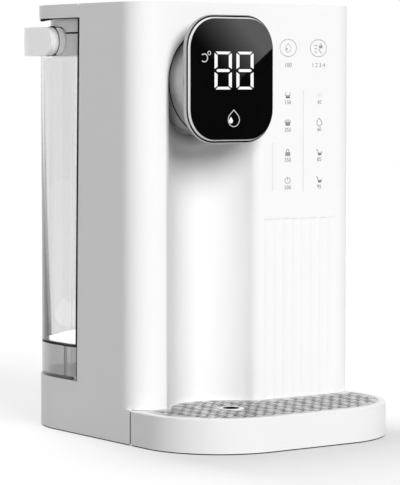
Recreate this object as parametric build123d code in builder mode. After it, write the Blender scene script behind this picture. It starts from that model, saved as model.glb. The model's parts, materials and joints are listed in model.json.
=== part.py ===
from build123d import *
import os
from math import pi, sqrt

# Instant hot water dispenser: a white body with a cup recess and a round head that carries a
# display, a lift-off water tank behind it, and a drip tray in front.
# Millimetres. The origin is on the floor, under the middle of the whole machine.
# +Z is up, the display faces -Y, the tank stands at +Y.

# Body
body_w = 201.5
body_d = 173.0
height = 319.0
foot_h = 1.0
front_r = 20.0
rear_r = 59.0
wall = 2.5
skirt_h = 38.4
# Reach of the tray in front of the body and of the handle behind it
tray_reach = 75.5
handle_reach = 19.5
# Clearances: pieces fixed together, pieces that come apart, shafts, screws and pressed pins
seat_gap = 0.2
part_gap = 0.3
shaft_gap = 0.05
screw_gap = 0.1
press_gap = 0.02
# How far a cut runs past the solid, and the least radius left on a rounded corner
past = 1.0
least_r = 0.5
half_turn = 180
quarter_turn = 90
upright_share = 0.99

# Joint in the roof and edge of the side wall, back from the front face
roof_joint = 75.3
window_foot = 80.5
bay_gap = 3.0
roof_t = 10.1
cover_t = 2.5
cover_edge = 0.4
ledge_w = 2.0
ledge_t = 2.0

# Cup recess and head: its centre in from the left side and below the roof's top
head_side = 67.65
head_drop = 57.4
recess_r = 42.0
recess_d = 27.0
lip_r = 10.0
neck_r = 38.7
neck_wall = 2.2
neck_reach = 16.0
neck_flange_r = 44.0
neck_flange_t = 3.0
display_w = 77.9
display_h = 92.4
display_r = 24.5
display_t = 5.0
display_rise = 2.0
bezel_wall = 1.5
bezel_back = 1.5
bezel_window_r = 33.0
spigot_len = 2.2
ring_w = 1.7
glass_t = 1.6
light_wall = 2.0
led_w = 40.0
led_h = 32.0
led_rise = 10.0
board_t = 1.6
board_flat = 6.0

# Fluted field under the touch panel
flute_count = 8
flute_d = 0.7
flute_top = 160.0

# Tray and grille
tray_h = 24.6
tray_r = 63.0
tray_joint = 10.8
tray_floor = 2.5
tray_edge = 0.6
rim_w = 5.5
rim_back = 0.6
recess_rim = 1.5
seat_w = 3.0
grille_t = 1.2
grille_drop = 0.2
ring_hole_r = 4.25
grille_ring_r = 7.35
grille_ring_t = 0.4
ring_wall = 0.8
ring_skirt = 2.0
drain_y = -21.0
slot_len = 6.4
slot_w = 1.7
slot_pitch_x = 8.6
slot_pitch_y = 5.2
slot_turn = 28.0
slot_margin = 3.5
tab_w = 12.0
tab_t = 3.0
tab_len = 9.0
tab_side = 20.75
tab_h = 12.0
tray_foot_r = 7.0
tray_foot_side = 44.75
tray_foot_y = -44.0

# Tank, gasket, collar and lid
tank_inset = 1.0
tank_wall = 2.0
tank_corner_r = 7.0
tank_base_h = 24.8
base_floor = 2.3
base_rib_back = 100.4
base_rib_in = 2.0
base_rib_t = 1.2
gasket_t = 1.6
gasket_w = 5.5
insert_gap = 1.5
insert_wall = 1.5
insert_h = 12.0
shoulder_t = 2.0
shoulder_w = 10.0
collar_inset = 8.6
collar_h = 16.1
collar_wall = 2.2
collar_corner_r = 10.0
spigot_drop = 5.0
seal_t = 1.0
seal_w = 3.4
liner_drop = 10.3
lid_wall = 2.2
hinge_r = 3.0
hinge_reach = 3.5
hinge_pin_r = 1.2
hinge_side = 40.75
ear_w = 8.0
ear_t = 5.2
ear_drop = 24.0
ear_foot_h = 7.0
hinge_pin_len = 20.0

# Handle
handle_t = 6.6
handle_h = 21.2
handle_r = 55.5
pivot_in = 48.3
pivot_pin_r = 4.0
pivot_pin_in = 4.2
boss_r = 10.0
boss_reach = 9.0
groove_w = 0.8
groove_d = 0.5

# Tank valve and its socket
valve_in = 48.0
valve_r = 11.0
valve_bore_r = 8.0
valve_flange_r = 15.0
valve_flange_t = 2.2
valve_plate = 3.8
valve_hole_r = 4.0
stem_r = 1.8
stem_sink = 0.5
stem_rise = 2.0
poppet_r = 6.0
poppet_t = 2.0
cap_t = 2.0
port_r = 2.6
port_count = 6
spring_r = 4.6
spring_wire_r = 0.5
spring_turns = 5
socket_r = 17.3
socket_bore_r = 15.0
socket_flange_r = 21.0
socket_flange_t = 3.0
socket_h = 12.4
sump_r = 12.0
sump_bore_r = 10.0
sump_h = 12.0
sump_floor = 2.0
socket_pin_r = 1.5
pin_foot_r = 3.75
pin_foot_t = 1.0
seal_h = 4.0

# Inner frame
pan_t = 3.0
bulkhead_back = 70.0
bulkhead_t = 2.5
rib_w = 8.0
rib_t = 2.5
rib_screw_in = 30.0
rib_screw_len = 8.0
deck_t = 3.0
pillar_r = 5.0
front_pillar_side = 30.75
front_pillar_back = 84.5
rear_pillar_side = 56.75
rear_pillar_in = 20.0
screw_r = 1.5
screw_head_r = 3.0
screw_head_t = 1.6
screw_len = 14.0
cross_w = 0.6
cross_r = 0.2
foot_r = 9.0
foot_sink = 1.2
foot_edge = 0.5
front_foot_side = 24.75
front_foot_back = 34.0
rear_foot_side = 42.75
rear_foot_in = 36.0
vent_count = 5
vent_pitch = 6.0
vent_len = 22.0
vent_w = 2.4

# Pump and heater
pump_mid = 40.0
pump_back = 38.0
mount_r = 5.0
mount_h = 5.0
bracket_t = 2.0
bracket_w = 40.0
pump_r = 18.0
pump_h = 18.0
pump_wall = 3.0
pump_lid_t = 3.0
motor_r = 15.0
motor_h = 46.0
bearing_r = 5.0
bearing_t = 2.0
rotor_r = 12.5
rotor_h = 8.0
rotor_room = 1.5
hub_r = 4.3
vane_count = 6
vane_t = 1.4
shaft_r = 1.5
shaft_in = 8.0
heater_side = 24.75
heater_r = 14.0
heater_wall = 1.0
heater_drop = 40.0
heater_len = 132.0
heater_cap_r = 15.5
heater_cap_t = 8.0
bracket_ring = 2.5
bracket_h = 8.0
bracket_in = 12.0
thermostat_r = 7.5
thermostat_t = 6.0
thermostat_in = 45.0
terminal_x = 3.0
terminal_w = 4.0
terminal_t = 1.0
terminal_len = 5.0
sensor_r = 2.4
sensor_len = 9.0

# Hoses and their stubs
hose_r = 3.5
hose_bore_r = 2.3
hose_room = 1.0
stub_r = 2.2
stub_bore_r = 1.4
stub_len = 7.0
hose_z = 20.0
hose_bend = 13.0
outlet_bend = 18.0
outlet_rise = 14.4
spout_back = -6.5
spout_past = 3.0
spout_r = 4.5
spout_drop = 5.0
spout_flange_r = 6.0
spout_flange_t = 1.8

# Boards
panel_side = 15.75
panel_near = 12.1
panel_top = 17.0
panel_h = 124.0
pad_r = 4.5
pad_len = 5.0
pad_left_in = 11.3
pad_right_in = 20.8
pad_drops = (67.2, 87.6, 110.0, 130.5)
key_left_in = 11.6
key_right_in = 21.9
key_drop = 32.2
panel_corner_r = 3.0
post_r = 2.5
post_in = 5.0
board_stand = 8.65
board_low = 60.0
board_high = 200.0
board_near = 16.0
board_far = 60.0
board_corner_r = 2.0
# Components of the power board: depth, height and thickness, then places from its near low corner
transformer = (22.0, 26.0, 18.0)
transformer_at = (26.0, 28.0)
relay = (16.0, 20.0, 14.0)
relay_at = (28.0, 64.0)
capacitor_r = 5.0
capacitor_h = 12.0
capacitors_at = ((18.0, 92.0), (34.0, 92.0), (26.0, 112.0))

# Cord gland
gland_x = 22.0
gland_z = 20.0
gland_r = 6.5
gland_flange_r = 8.5
gland_flange_t = 1.5
gland_len = 8.0
cord_r = 3.7

# Levels and places worked out from the sizes above
overall_d = tray_reach + body_d + handle_reach
front_y = tray_reach - overall_d / 2
rear_y = front_y + body_d
half_w = body_w / 2
head_x = head_side - half_w
head_h = height - head_drop
skirt_top = foot_h + skirt_h
tray_top = foot_h + tray_h
tray_ceiling = tray_top + part_gap
roof_low = height - roof_t
tank_low = skirt_top + part_gap
base_top = tank_low + tank_base_h
clear_low = base_top + gasket_t
rim_low = roof_low - liner_drop
seal_low = rim_low - seal_t
collar_top = seal_low - part_gap
clear_top = collar_top - collar_h
rim_inset = collar_inset + collar_wall
lid_front = front_y + roof_joint + part_gap / 2
hinge_y = lid_front + hinge_r
hinge_z = height - hinge_r
hinge_x = half_w - hinge_side
pivot_y = rear_y - pivot_in
handle_low = clear_top + part_gap
pivot_z = handle_low + handle_h / 2
valve_y = rear_y - valve_in
bulkhead_y = front_y + bulkhead_back
deck_y = bulkhead_y + bulkhead_t
pan_top = foot_h + pan_t
deck_low = skirt_top - deck_t
bowl_out = recess_r - recess_d
lip_x = sqrt((recess_r + lip_r) ** 2 - (bowl_out + lip_r) ** 2)
neck_front = front_y - neck_reach
neck_depth = recess_d + wall + neck_flange_t
neck_rear = front_y + neck_depth
display_z = head_h + display_rise
display_front = neck_front - display_t
grille_top = tray_top - grille_drop
grille_low = grille_top - grille_t
front_pillar_y = front_y + front_pillar_back
rear_pillar_y = rear_y - rear_pillar_in
pillars = [(side * (half_w - inward), y) for side in (-1, 1)
           for inward, y in ((front_pillar_side, front_pillar_y), (rear_pillar_side, rear_pillar_y))]
front_foot_y = front_y + front_foot_back
rear_foot_y = rear_y - rear_foot_in
feet = [(side * (half_w - inward), y) for side in (-1, 1)
        for inward, y in ((front_foot_side, front_foot_y), (rear_foot_side, rear_foot_y))]
tray_feet_at = [(side * (half_w - tray_foot_side), front_y + tray_foot_y) for side in (-1, 1)]
tab_x = half_w - tab_side
panel_high = height - panel_top
panel_low = panel_high - panel_h
panel_left = head_x + neck_flange_r + panel_near
panel_right = half_w - panel_side
pad_points = [(x, height - drop) for x in (panel_left + pad_left_in, panel_right - pad_right_in)
              for drop in pad_drops]
key_points = [(x, height - key_drop) for x in (panel_left + key_left_in, panel_right - key_right_in)]
board_x = -half_w + wall + board_stand + board_t
pump_x = pump_mid
heater_x = half_w - heater_side
outlet_z = head_h + outlet_rise

MIN, MID, MAX = Align.MIN, Align.CENTER, Align.MAX


def front_plane(y):
    """Upright plane at this depth, with its normal towards the front."""
    return Plane(origin=(0, y, 0), x_dir=(1, 0, 0), z_dir=(0, -1, 0))


def side_plane(x):
    """Upright plane at this X, with its normal towards +X."""
    return Plane(origin=(x, 0, 0), x_dir=(0, 1, 0), z_dir=(1, 0, 0))


def level(z):
    """Level plane at this height."""
    return Plane(origin=(0, 0, z), x_dir=(1, 0, 0), z_dir=(0, 0, 1))


def edge_y(z):
    """Depth of the side wall's rear edge at this height: it leans back towards the foot."""
    share = (roof_low - z) / (roof_low - skirt_top)
    return front_y + roof_joint - part_gap / 2 + (window_foot - roof_joint) * share


def body_plan(inset=0.0):
    """Plan outline of the body, this far inside its skin."""
    with BuildSketch() as plan:
        with Locations((0, front_y + inset)):
            Rectangle(body_w - 2 * inset, body_d - 2 * inset, align=(MID, MIN))
        fillet(plan.vertices().group_by(Axis.Y)[0], front_r - inset)
        fillet(plan.vertices().group_by(Axis.Y)[-1], rear_r - inset)
    return plan.sketch


def recess_plan(grow=0.0, reach=0.0):
    """Plan of the air in the cup recess, grown into its wall, about its own centre line."""
    bowl = recess_r + grow
    share = bowl / (recess_r + lip_r)
    meet_x = lip_x * share
    meet_y = (bowl_out + lip_r) * share - bowl_out
    with BuildSketch() as plan:
        with BuildLine():
            TangentArc((-lip_x, grow), (-meet_x, meet_y), tangent=(1, 0))
            ThreePointArc((-meet_x, meet_y), (0, bowl - bowl_out), (meet_x, meet_y))
            TangentArc((lip_x, grow), (meet_x, meet_y), tangent=(-1, 0))
            Polyline((lip_x, grow), (lip_x, -reach), (-lip_x, -reach), (-lip_x, grow))
        make_face()
    return plan.sketch


def recess_block(grow, reach):
    """Air of the recess, grown into its wall: a channel with a half-round end at the head."""
    with BuildPart() as block:
        with BuildSketch(Plane((head_x, front_y, foot_h))):
            add(recess_plan(grow, reach))
        extrude(amount=head_h - foot_h)
        with BuildSketch(Plane((head_x, front_y, head_h))):
            add(recess_plan(grow, reach))
            Rectangle(body_w, body_d, align=(MIN, MID), mode=Mode.INTERSECT)
        revolve(axis=Axis((head_x, front_y, head_h), (0, -1, 0)), revolution_arc=half_turn)
    return block.part


def tank_block(inset, low, high):
    """Solid with the tank's plan: round the body's rear and cut by the leaning bay front.

    Its upright front corners are concentric with those of the tank, or further in with the collar's.
    """
    lean = inset + bay_gap
    outer = tank_inset if inset < collar_inset else collar_inset
    corner_r = tank_corner_r if inset < collar_inset else collar_corner_r
    with BuildPart() as block:
        with BuildSketch(level(low)):
            add(body_plan(inset))
        extrude(amount=high - low)
        with BuildSketch(side_plane(-body_w)):
            Polygon(
                (front_y - past, low - past),
                (edge_y(low - past) + lean, low - past),
                (edge_y(high + past) + lean, high + past),
                (front_y - past, high + past),
                align=None,
            )
        extrude(amount=2 * body_w, mode=Mode.SUBTRACT)
        straight = block.edges().filter_by(GeomType.LINE)
        uprights = straight.filter_by(
            lambda e: e.bounding_box().size.Z > upright_share * (high - low)
        )
        fillet(uprights.group_by(Axis.Y)[0], max(corner_r - inset + outer, least_r))
    return block.part


def tray_plan(inset=0.0):
    """Plan outline of the drip tray, this far inside its skin."""
    length = tray_reach + tray_joint - part_gap - inset
    with BuildSketch() as plan:
        with Locations((0, front_y - tray_reach + inset)):
            Rectangle(body_w - 2 * inset, length, align=(MID, MIN))
        fillet(plan.vertices().group_by(Axis.Y)[0], tray_r - inset)
    return plan.sketch


def grille_plan(rim, back, round_recess):
    """Plan of what lies inside the tray's rim: the front part and the tongue in the recess."""
    with BuildSketch() as plan:
        add(tray_plan(rim))
        with Locations((0, front_y - back)):
            Rectangle(2 * body_w, body_d, align=(MID, MIN), mode=Mode.SUBTRACT)
        with Locations((head_x, front_y)):
            add(recess_plan(-round_recess, back + lip_r))
    return plan.sketch


def boss_plan(grow=0.0):
    """Outline of the handle's boss on a side plane: round, and drawn out towards the front."""
    with BuildSketch() as plan:
        with Locations((pivot_y - boss_reach / 2, pivot_z)):
            SlotCenterToCenter(boss_reach, 2 * (boss_r + grow))
    return plan.sketch


def rounded(width, tall, radius):
    """Rounded rectangle of the display's family of outlines."""
    with BuildSketch() as plan:
        RectangleRounded(width, tall, radius)
    return plan.sketch


def screw_at(points, plane, length=screw_len):
    """Pan-head screws, one at each point of the plane, driven against its normal."""
    with BuildPart() as screws:
        with BuildSketch(plane):
            with Locations(*points):
                Circle(screw_head_r)
        extrude(amount=screw_head_t)
        with BuildSketch(plane):
            with Locations(*points):
                Circle(screw_r)
        extrude(amount=-length)
        with BuildSketch(plane.offset(screw_head_t)):
            with Locations(*points):
                RectangleRounded(screw_head_r, cross_w, cross_r)
                RectangleRounded(cross_w, screw_head_r, cross_r)
        extrude(amount=-screw_head_t / 2, mode=Mode.SUBTRACT)
    return screws.part


def hose(points, bend):
    """Hose with its bore along straight runs joined by round bends."""
    with BuildPart() as tube:
        with BuildLine():
            route = FilletPolyline(*points, radius=bend)
        with BuildSketch(Plane(origin=route @ 0, z_dir=route % 0)):
            Circle(hose_r)
            Circle(hose_bore_r, mode=Mode.SUBTRACT)
        sweep()
    share = tube.part.volume / (pi * (hose_r**2 - hose_bore_r**2) * route.length)
    print("hose", round(route.length, 1), "fills its route to", round(share, 4))
    return tube.part


# Outer shell: front face with the cup recess, both side walls and the skirt round the base
with BuildPart() as outer_shell:
    with BuildSketch(level(foot_h)):
        add(body_plan())
    extrude(amount=height - foot_h)
    with BuildSketch(level(foot_h)):
        with Locations((0, front_y + tray_joint)):
            Rectangle(body_w, 2 * front_r, align=(MID, MIN))
    extrude(amount=tray_ceiling - foot_h)
    with BuildSketch(level(foot_h)):
        add(body_plan(wall))
    extrude(amount=height - foot_h, mode=Mode.SUBTRACT)
    # Step over the tray: a low front wall and the ledge above it
    with BuildSketch(level(foot_h)):
        add(body_plan(wall))
        with Locations((0, front_y)):
            Rectangle(body_w, tray_joint + wall, align=(MID, MIN), mode=Mode.INTERSECT)
    extrude(amount=tray_ceiling + wall - foot_h)
    # Ledge that carries the top cover
    with BuildSketch(level(height - cover_t - ledge_t)):
        add(body_plan(wall))
        add(body_plan(wall + ledge_w), mode=Mode.SUBTRACT)
        with Locations((0, bulkhead_y)):
            Rectangle(2 * body_w, body_d, align=(MID, MIN), mode=Mode.SUBTRACT)
    extrude(amount=ledge_t)
    # Wall of the recess, then its air and the hole for the neck
    add(recess_block(wall, 0))
    with BuildSketch(level(foot_h)):
        with Locations((0, front_y - past)):
            Rectangle(2 * body_w, tray_joint + past, align=(MID, MIN))
    extrude(amount=tray_ceiling - foot_h, mode=Mode.SUBTRACT)
    add(recess_block(0, lip_r), mode=Mode.SUBTRACT)
    with BuildSketch(front_plane(neck_rear)):
        with Locations((head_x, head_h)):
            Circle(neck_r + seat_gap)
    extrude(amount=neck_depth + lip_r, mode=Mode.SUBTRACT)
    # Flutes between the recess and the round corner
    flute_from = head_x + lip_x
    flute_w = (half_w - front_r - flute_from) / flute_count
    flute_r = (flute_w**2 / 4 + flute_d**2) / (2 * flute_d)
    with BuildSketch(level(tray_ceiling)):
        for i in range(flute_count):
            with Locations((flute_from + (i + 0.5) * flute_w, front_y - flute_r + flute_d)):
                Circle(flute_r)
    extrude(amount=flute_top - tray_ceiling, mode=Mode.SUBTRACT)
    # Bay of the tank behind the leaning edge of the side walls
    with BuildSketch(side_plane(-body_w)):
        Polygon(
            (edge_y(skirt_top), skirt_top),
            (edge_y(roof_low), roof_low),
            (edge_y(roof_low), height + past),
            (rear_y + past, height + past),
            (rear_y + past, skirt_top),
            align=None,
        )
    extrude(amount=2 * body_w, mode=Mode.SUBTRACT)
    # Ribs that the bulkhead screws to
    rib_high = height - cover_t - ledge_t
    rib_x = half_w - wall - rib_w / 2
    with BuildSketch(level(pan_top)):
        with Locations((-rib_x, bulkhead_y), (rib_x, bulkhead_y)):
            Rectangle(rib_w, rib_t, align=(MID, MAX))
    extrude(amount=rib_high - pan_top)
    rib_levels = (skirt_top + rib_screw_in, (skirt_top + rib_high) / 2, rib_high - rib_screw_in)
    rib_points = [(side * rib_x, z) for side in (-1, 1) for z in rib_levels]
    with BuildSketch(front_plane(bulkhead_y)):
        with Locations(*rib_points):
            Circle(screw_r + screw_gap)
    extrude(amount=screw_len, mode=Mode.SUBTRACT)
    # Posts that carry the touch board behind the front face
    post_points = [(x, z) for x in (panel_left + post_in, panel_right - post_in)
                   for z in (panel_low + post_in, panel_high - post_in)]
    with BuildSketch(front_plane(front_y + wall)):
        with Locations(*post_points):
            Circle(post_r)
    extrude(amount=-pad_len)
    # Bosses that carry the power board on the side wall
    boss_points = [(y, z) for y in (front_y + board_near + post_in, front_y + board_far - post_in)
                   for z in (board_low + post_in, board_high - post_in)]
    with BuildSketch(side_plane(-half_w + wall)):
        with Locations(*boss_points):
            Circle(post_r)
    extrude(amount=board_stand)
    # Slots for the tray's tabs and the hole of the cord gland
    with BuildSketch(front_plane(front_y + tray_joint + wall + past)):
        with Locations((-tab_x, tab_h), (tab_x, tab_h)):
            Rectangle(tab_w + 2 * part_gap, tab_t + 2 * part_gap)
    extrude(amount=wall + 2 * past, mode=Mode.SUBTRACT)
    with BuildSketch(front_plane(rear_y + past)):
        with Locations((gland_x, gland_z)):
            Circle(gland_r + screw_gap)
    extrude(amount=wall + 2 * past, mode=Mode.SUBTRACT)

# Top cover over the front half, flush with the rim of the shell
with BuildPart() as top_cover:
    with BuildSketch(level(height - cover_t)):
        add(body_plan(wall + seat_gap))
        with Locations((0, front_y + roof_joint - part_gap / 2)):
            Rectangle(2 * body_w, body_d, align=(MID, MIN), mode=Mode.SUBTRACT)
    extrude(amount=cover_t)
    chamfer(top_cover.faces().sort_by(Axis.Z)[-1].edges(), cover_edge)

# Bulkhead: the white wall between the works and the tank's bay
with BuildPart() as bulkhead:
    with BuildSketch(level(pan_top)):
        with Locations((0, bulkhead_y)):
            Rectangle(body_w - 2 * wall - 2 * seat_gap, bulkhead_t, align=(MID, MIN))
    extrude(amount=height - cover_t - pan_top)
    with BuildSketch(front_plane(bulkhead_y + bulkhead_t + past)):
        with Locations(*rib_points):
            Circle(screw_r + screw_gap)
        with Locations((0, hose_z)):
            Circle(hose_r + hose_room)
    extrude(amount=bulkhead_t + 2 * past, mode=Mode.SUBTRACT)

with BuildPart() as bulkhead_screws:
    rear_face = Plane(origin=(0, bulkhead_y + bulkhead_t, 0), x_dir=(-1, 0, 0), z_dir=(0, 1, 0))
    add(screw_at([(-x, z) for x, z in rib_points], rear_face, rib_screw_len))

# Base pan with the pockets of its feet and the vents under the pump
with BuildPart() as base_pan:
    with BuildSketch(level(foot_h)):
        add(body_plan(wall + seat_gap))
        with Locations((0, front_y)):
            Rectangle(2 * body_w, tray_joint + wall + seat_gap, align=(MID, MIN), mode=Mode.SUBTRACT)
        with Locations((head_x, front_y)):
            add(recess_plan(wall + seat_gap, lip_r), mode=Mode.SUBTRACT)
    extrude(amount=pan_t)
    with BuildSketch(level(foot_h)):
        with Locations(*feet):
            Circle(foot_r + screw_gap)
    extrude(amount=foot_sink, mode=Mode.SUBTRACT)
    with BuildSketch(level(foot_h)):
        with Locations(*pillars):
            Circle(screw_head_r + screw_gap)
    extrude(amount=screw_head_t, mode=Mode.SUBTRACT)
    with BuildSketch(level(foot_h)):
        with Locations(*pillars):
            Circle(screw_r + screw_gap)
        with Locations((pump_x, front_y + pump_back)):
            with GridLocations(vent_pitch, vent_len, vent_count, 1):
                SlotOverall(vent_len, vent_w, rotation=quarter_turn)
    extrude(amount=pan_t, mode=Mode.SUBTRACT)

# Four rubber feet in their pockets
with BuildPart() as rubber_feet:
    with BuildSketch(level(0)):
        with Locations(*feet):
            Circle(foot_r)
    extrude(amount=foot_h + foot_sink)
    chamfer(rubber_feet.edges().group_by(Axis.Z)[0], foot_edge)

# Deck under the tank, on four pillars that stand on the pan
with BuildPart() as tank_deck:
    with BuildSketch(level(deck_low)):
        add(body_plan(wall + seat_gap))
        with Locations((0, deck_y)):
            Rectangle(2 * body_w, 2 * body_d, align=(MID, MAX), mode=Mode.SUBTRACT)
        with Locations((0, valve_y)):
            Circle(socket_r + screw_gap, mode=Mode.SUBTRACT)
    extrude(amount=deck_t)
    with BuildSketch(level(pan_top)):
        with Locations(*pillars):
            Circle(pillar_r)
    extrude(amount=deck_low - pan_top)
    with BuildSketch(level(pan_top)):
        with Locations(*pillars):
            Circle(screw_r + screw_gap)
    extrude(amount=screw_len, mode=Mode.SUBTRACT)

with BuildPart() as base_screws:
    head_seat = Plane(origin=(0, 0, foot_h + screw_head_t), x_dir=(1, 0, 0), z_dir=(0, 0, -1))
    add(screw_at([(x, -y) for x, y in pillars], head_seat))

# Socket in the deck that takes the tank's valve, with a sump and a hose stub below
socket_low = deck_low - socket_h + socket_flange_t
sump_low = socket_low - sump_h
with BuildPart() as valve_socket:
    with BuildSketch(level(socket_low)):
        with Locations((0, valve_y)):
            Circle(socket_r)
    extrude(amount=skirt_top - socket_low)
    with BuildSketch(level(deck_low - socket_flange_t)):
        with Locations((0, valve_y)):
            Circle(socket_flange_r)
    extrude(amount=socket_flange_t)
    with BuildSketch(level(sump_low)):
        with Locations((0, valve_y)):
            Circle(sump_r)
    extrude(amount=sump_h)
    with BuildSketch(front_plane(valve_y)):
        with Locations((0, hose_z)):
            Circle(stub_r)
    extrude(amount=sump_r + stub_len)
    with BuildSketch(level(sump_low + sump_floor)):
        with Locations((0, valve_y)):
            Circle(sump_bore_r)
    extrude(amount=height, mode=Mode.SUBTRACT)
    with BuildSketch(level(socket_low + sump_floor)):
        with Locations((0, valve_y)):
            Circle(socket_bore_r)
    extrude(amount=height, mode=Mode.SUBTRACT)
    with BuildSketch(front_plane(valve_y)):
        with Locations((0, hose_z)):
            Circle(stub_bore_r)
    extrude(amount=sump_r + stub_len, mode=Mode.SUBTRACT)

# Tank valve: a threaded cup through the tank's floor, with a sprung poppet
valve_low = socket_low + sump_floor + part_gap
floor_top = tank_low + base_floor
plate_top = valve_low + valve_plate
cap_low = floor_top + valve_flange_t
poppet_low = plate_top + screw_gap
spring_low = poppet_low + poppet_t + screw_gap
spring_high = cap_low - screw_gap
stem_low = valve_low + stem_sink
with BuildPart() as valve_body:
    with BuildSketch(level(valve_low)):
        with Locations((0, valve_y)):
            Circle(valve_r)
    extrude(amount=cap_low - valve_low)
    with BuildSketch(level(floor_top)):
        with Locations((0, valve_y)):
            Circle(valve_flange_r)
    extrude(amount=valve_flange_t)
    with BuildSketch(level(plate_top)):
        with Locations((0, valve_y)):
            Circle(valve_bore_r)
    extrude(amount=height, mode=Mode.SUBTRACT)
    with BuildSketch(level(valve_low)):
        with Locations((0, valve_y)):
            Circle(valve_hole_r)
    extrude(amount=valve_plate, mode=Mode.SUBTRACT)
with BuildPart() as valve_cap:
    with BuildSketch(level(cap_low)):
        with Locations((0, valve_y)):
            Circle(valve_flange_r)
            Circle(stem_r + part_gap, mode=Mode.SUBTRACT)
            with PolarLocations(valve_bore_r, port_count):
                Circle(port_r, mode=Mode.SUBTRACT)
    extrude(amount=cap_t)
with BuildPart() as valve_poppet:
    with BuildSketch(level(stem_low)):
        with Locations((0, valve_y)):
            Circle(stem_r)
    extrude(amount=cap_low + cap_t + stem_rise - stem_low)
    with BuildSketch(level(poppet_low)):
        with Locations((0, valve_y)):
            Circle(poppet_r)
    extrude(amount=poppet_t)
with BuildPart() as valve_spring:
    coil_h = spring_high - spring_low - 2 * spring_wire_r
    with BuildLine(Plane((0, valve_y, spring_low + spring_wire_r))) as coil:
        Helix(pitch=coil_h / spring_turns, height=coil_h, radius=spring_r)
    with BuildSketch(Plane(origin=coil.line @ 0, z_dir=coil.line % 0)):
        Circle(spring_wire_r)
    sweep(is_frenet=True)

# Pin of the socket that lifts the poppet, and the seal round the valve
with BuildPart() as socket_pin:
    with BuildSketch(level(sump_low + sump_floor)):
        with Locations((0, valve_y)):
            Circle(socket_pin_r)
    extrude(amount=stem_low - part_gap - sump_low - sump_floor)
    with BuildSketch(level(sump_low + sump_floor)):
        with Locations((0, valve_y)):
            Circle(pin_foot_r)
    extrude(amount=pin_foot_t)
with BuildPart() as socket_seal:
    with BuildSketch(level(socket_low + sump_floor)):
        with Locations((0, valve_y)):
            Circle(socket_bore_r - screw_gap)
            Circle(valve_r + part_gap, mode=Mode.SUBTRACT)
    extrude(amount=seal_h)

# Smoked foot of the tank, open at the top, with the rib that shows through its side
with BuildPart() as tank_base:
    add(tank_block(tank_inset, tank_low, base_top))
    add(tank_block(tank_inset + tank_wall, floor_top, base_top + past), mode=Mode.SUBTRACT)
    with BuildSketch(level(tank_low)):
        with Locations((0, valve_y)):
            Circle(valve_r + screw_gap)
    extrude(amount=base_floor, mode=Mode.SUBTRACT)
    rib_face = half_w - tank_inset - tank_wall
    with BuildSketch(level(floor_top)):
        with Locations((-rib_face, front_y + base_rib_back), (rib_face, front_y + base_rib_back)):
            Rectangle(2 * base_rib_in, base_rib_t)
    extrude(amount=tank_base_h - base_floor)

# Black gasket between the foot and the clear tank
with BuildPart() as tank_gasket:
    add(tank_block(tank_inset + part_gap, base_top, clear_low))
    add(tank_block(tank_inset + gasket_w, base_top - past, clear_low + past), mode=Mode.SUBTRACT)

# White frame inside the tank's foot joint, which holds the gasket down
with BuildPart() as tank_insert:
    insert_in = tank_inset + tank_wall + insert_gap
    add(tank_block(insert_in, clear_low, clear_low + insert_h))
    add(tank_block(insert_in + insert_wall, clear_low - past, clear_low + insert_h + past),
        mode=Mode.SUBTRACT)

# Clear tank: walls and the shoulder that the collar stands on
with BuildPart() as clear_tank:
    add(tank_block(tank_inset, clear_low, clear_top))
    add(tank_block(tank_inset + tank_wall, clear_low - past, clear_top - shoulder_t), mode=Mode.SUBTRACT)
    add(tank_block(tank_inset + shoulder_w, clear_low, clear_top + past), mode=Mode.SUBTRACT)

# Collar of the tank's mouth, with the handle's bosses and the lid's hinge ears
with BuildPart() as tank_collar:
    add(tank_block(collar_inset, clear_top, collar_top))
    for side in (-1, 1):
        with BuildSketch(side_plane(side * (half_w - rim_inset))):
            add(boss_plan())
        extrude(amount=side * (rim_inset - handle_t - part_gap))
    with BuildSketch(level(clear_top - 2 * boss_r)):
        Rectangle(2 * body_w, 4 * body_d)
    extrude(amount=2 * boss_r, mode=Mode.SUBTRACT)
    ear_foot = hinge_z - ear_drop - ear_foot_h
    ear_back = edge_y(clear_top) + bay_gap + rim_inset
    for side in (-1, 1):
        with BuildSketch(side_plane(side * hinge_x)):
            with Locations((hinge_y, hinge_z)):
                Circle(ear_t / 2)
            with Locations((hinge_y, ear_foot)):
                Rectangle(ear_t, hinge_z - ear_foot, align=(MID, MIN))
            with Locations((hinge_y, ear_foot)):
                Rectangle(ear_back - hinge_y, ear_foot_h, align=(MIN, MIN))
        extrude(amount=ear_w / 2, both=True)
    spigot_low = clear_top - spigot_drop
    add(tank_block(tank_inset + shoulder_w + seat_gap, spigot_low, collar_top - past))
    add(tank_block(rim_inset + collar_wall, spigot_low - past, collar_top + past), mode=Mode.SUBTRACT)
    with BuildSketch(side_plane(-body_w)):
        with Locations((hinge_y, hinge_z)):
            Circle(hinge_pin_r + press_gap)
        with Locations((pivot_y, pivot_z)):
            Circle(pivot_pin_r + press_gap)
    extrude(amount=2 * body_w, mode=Mode.SUBTRACT)

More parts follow.
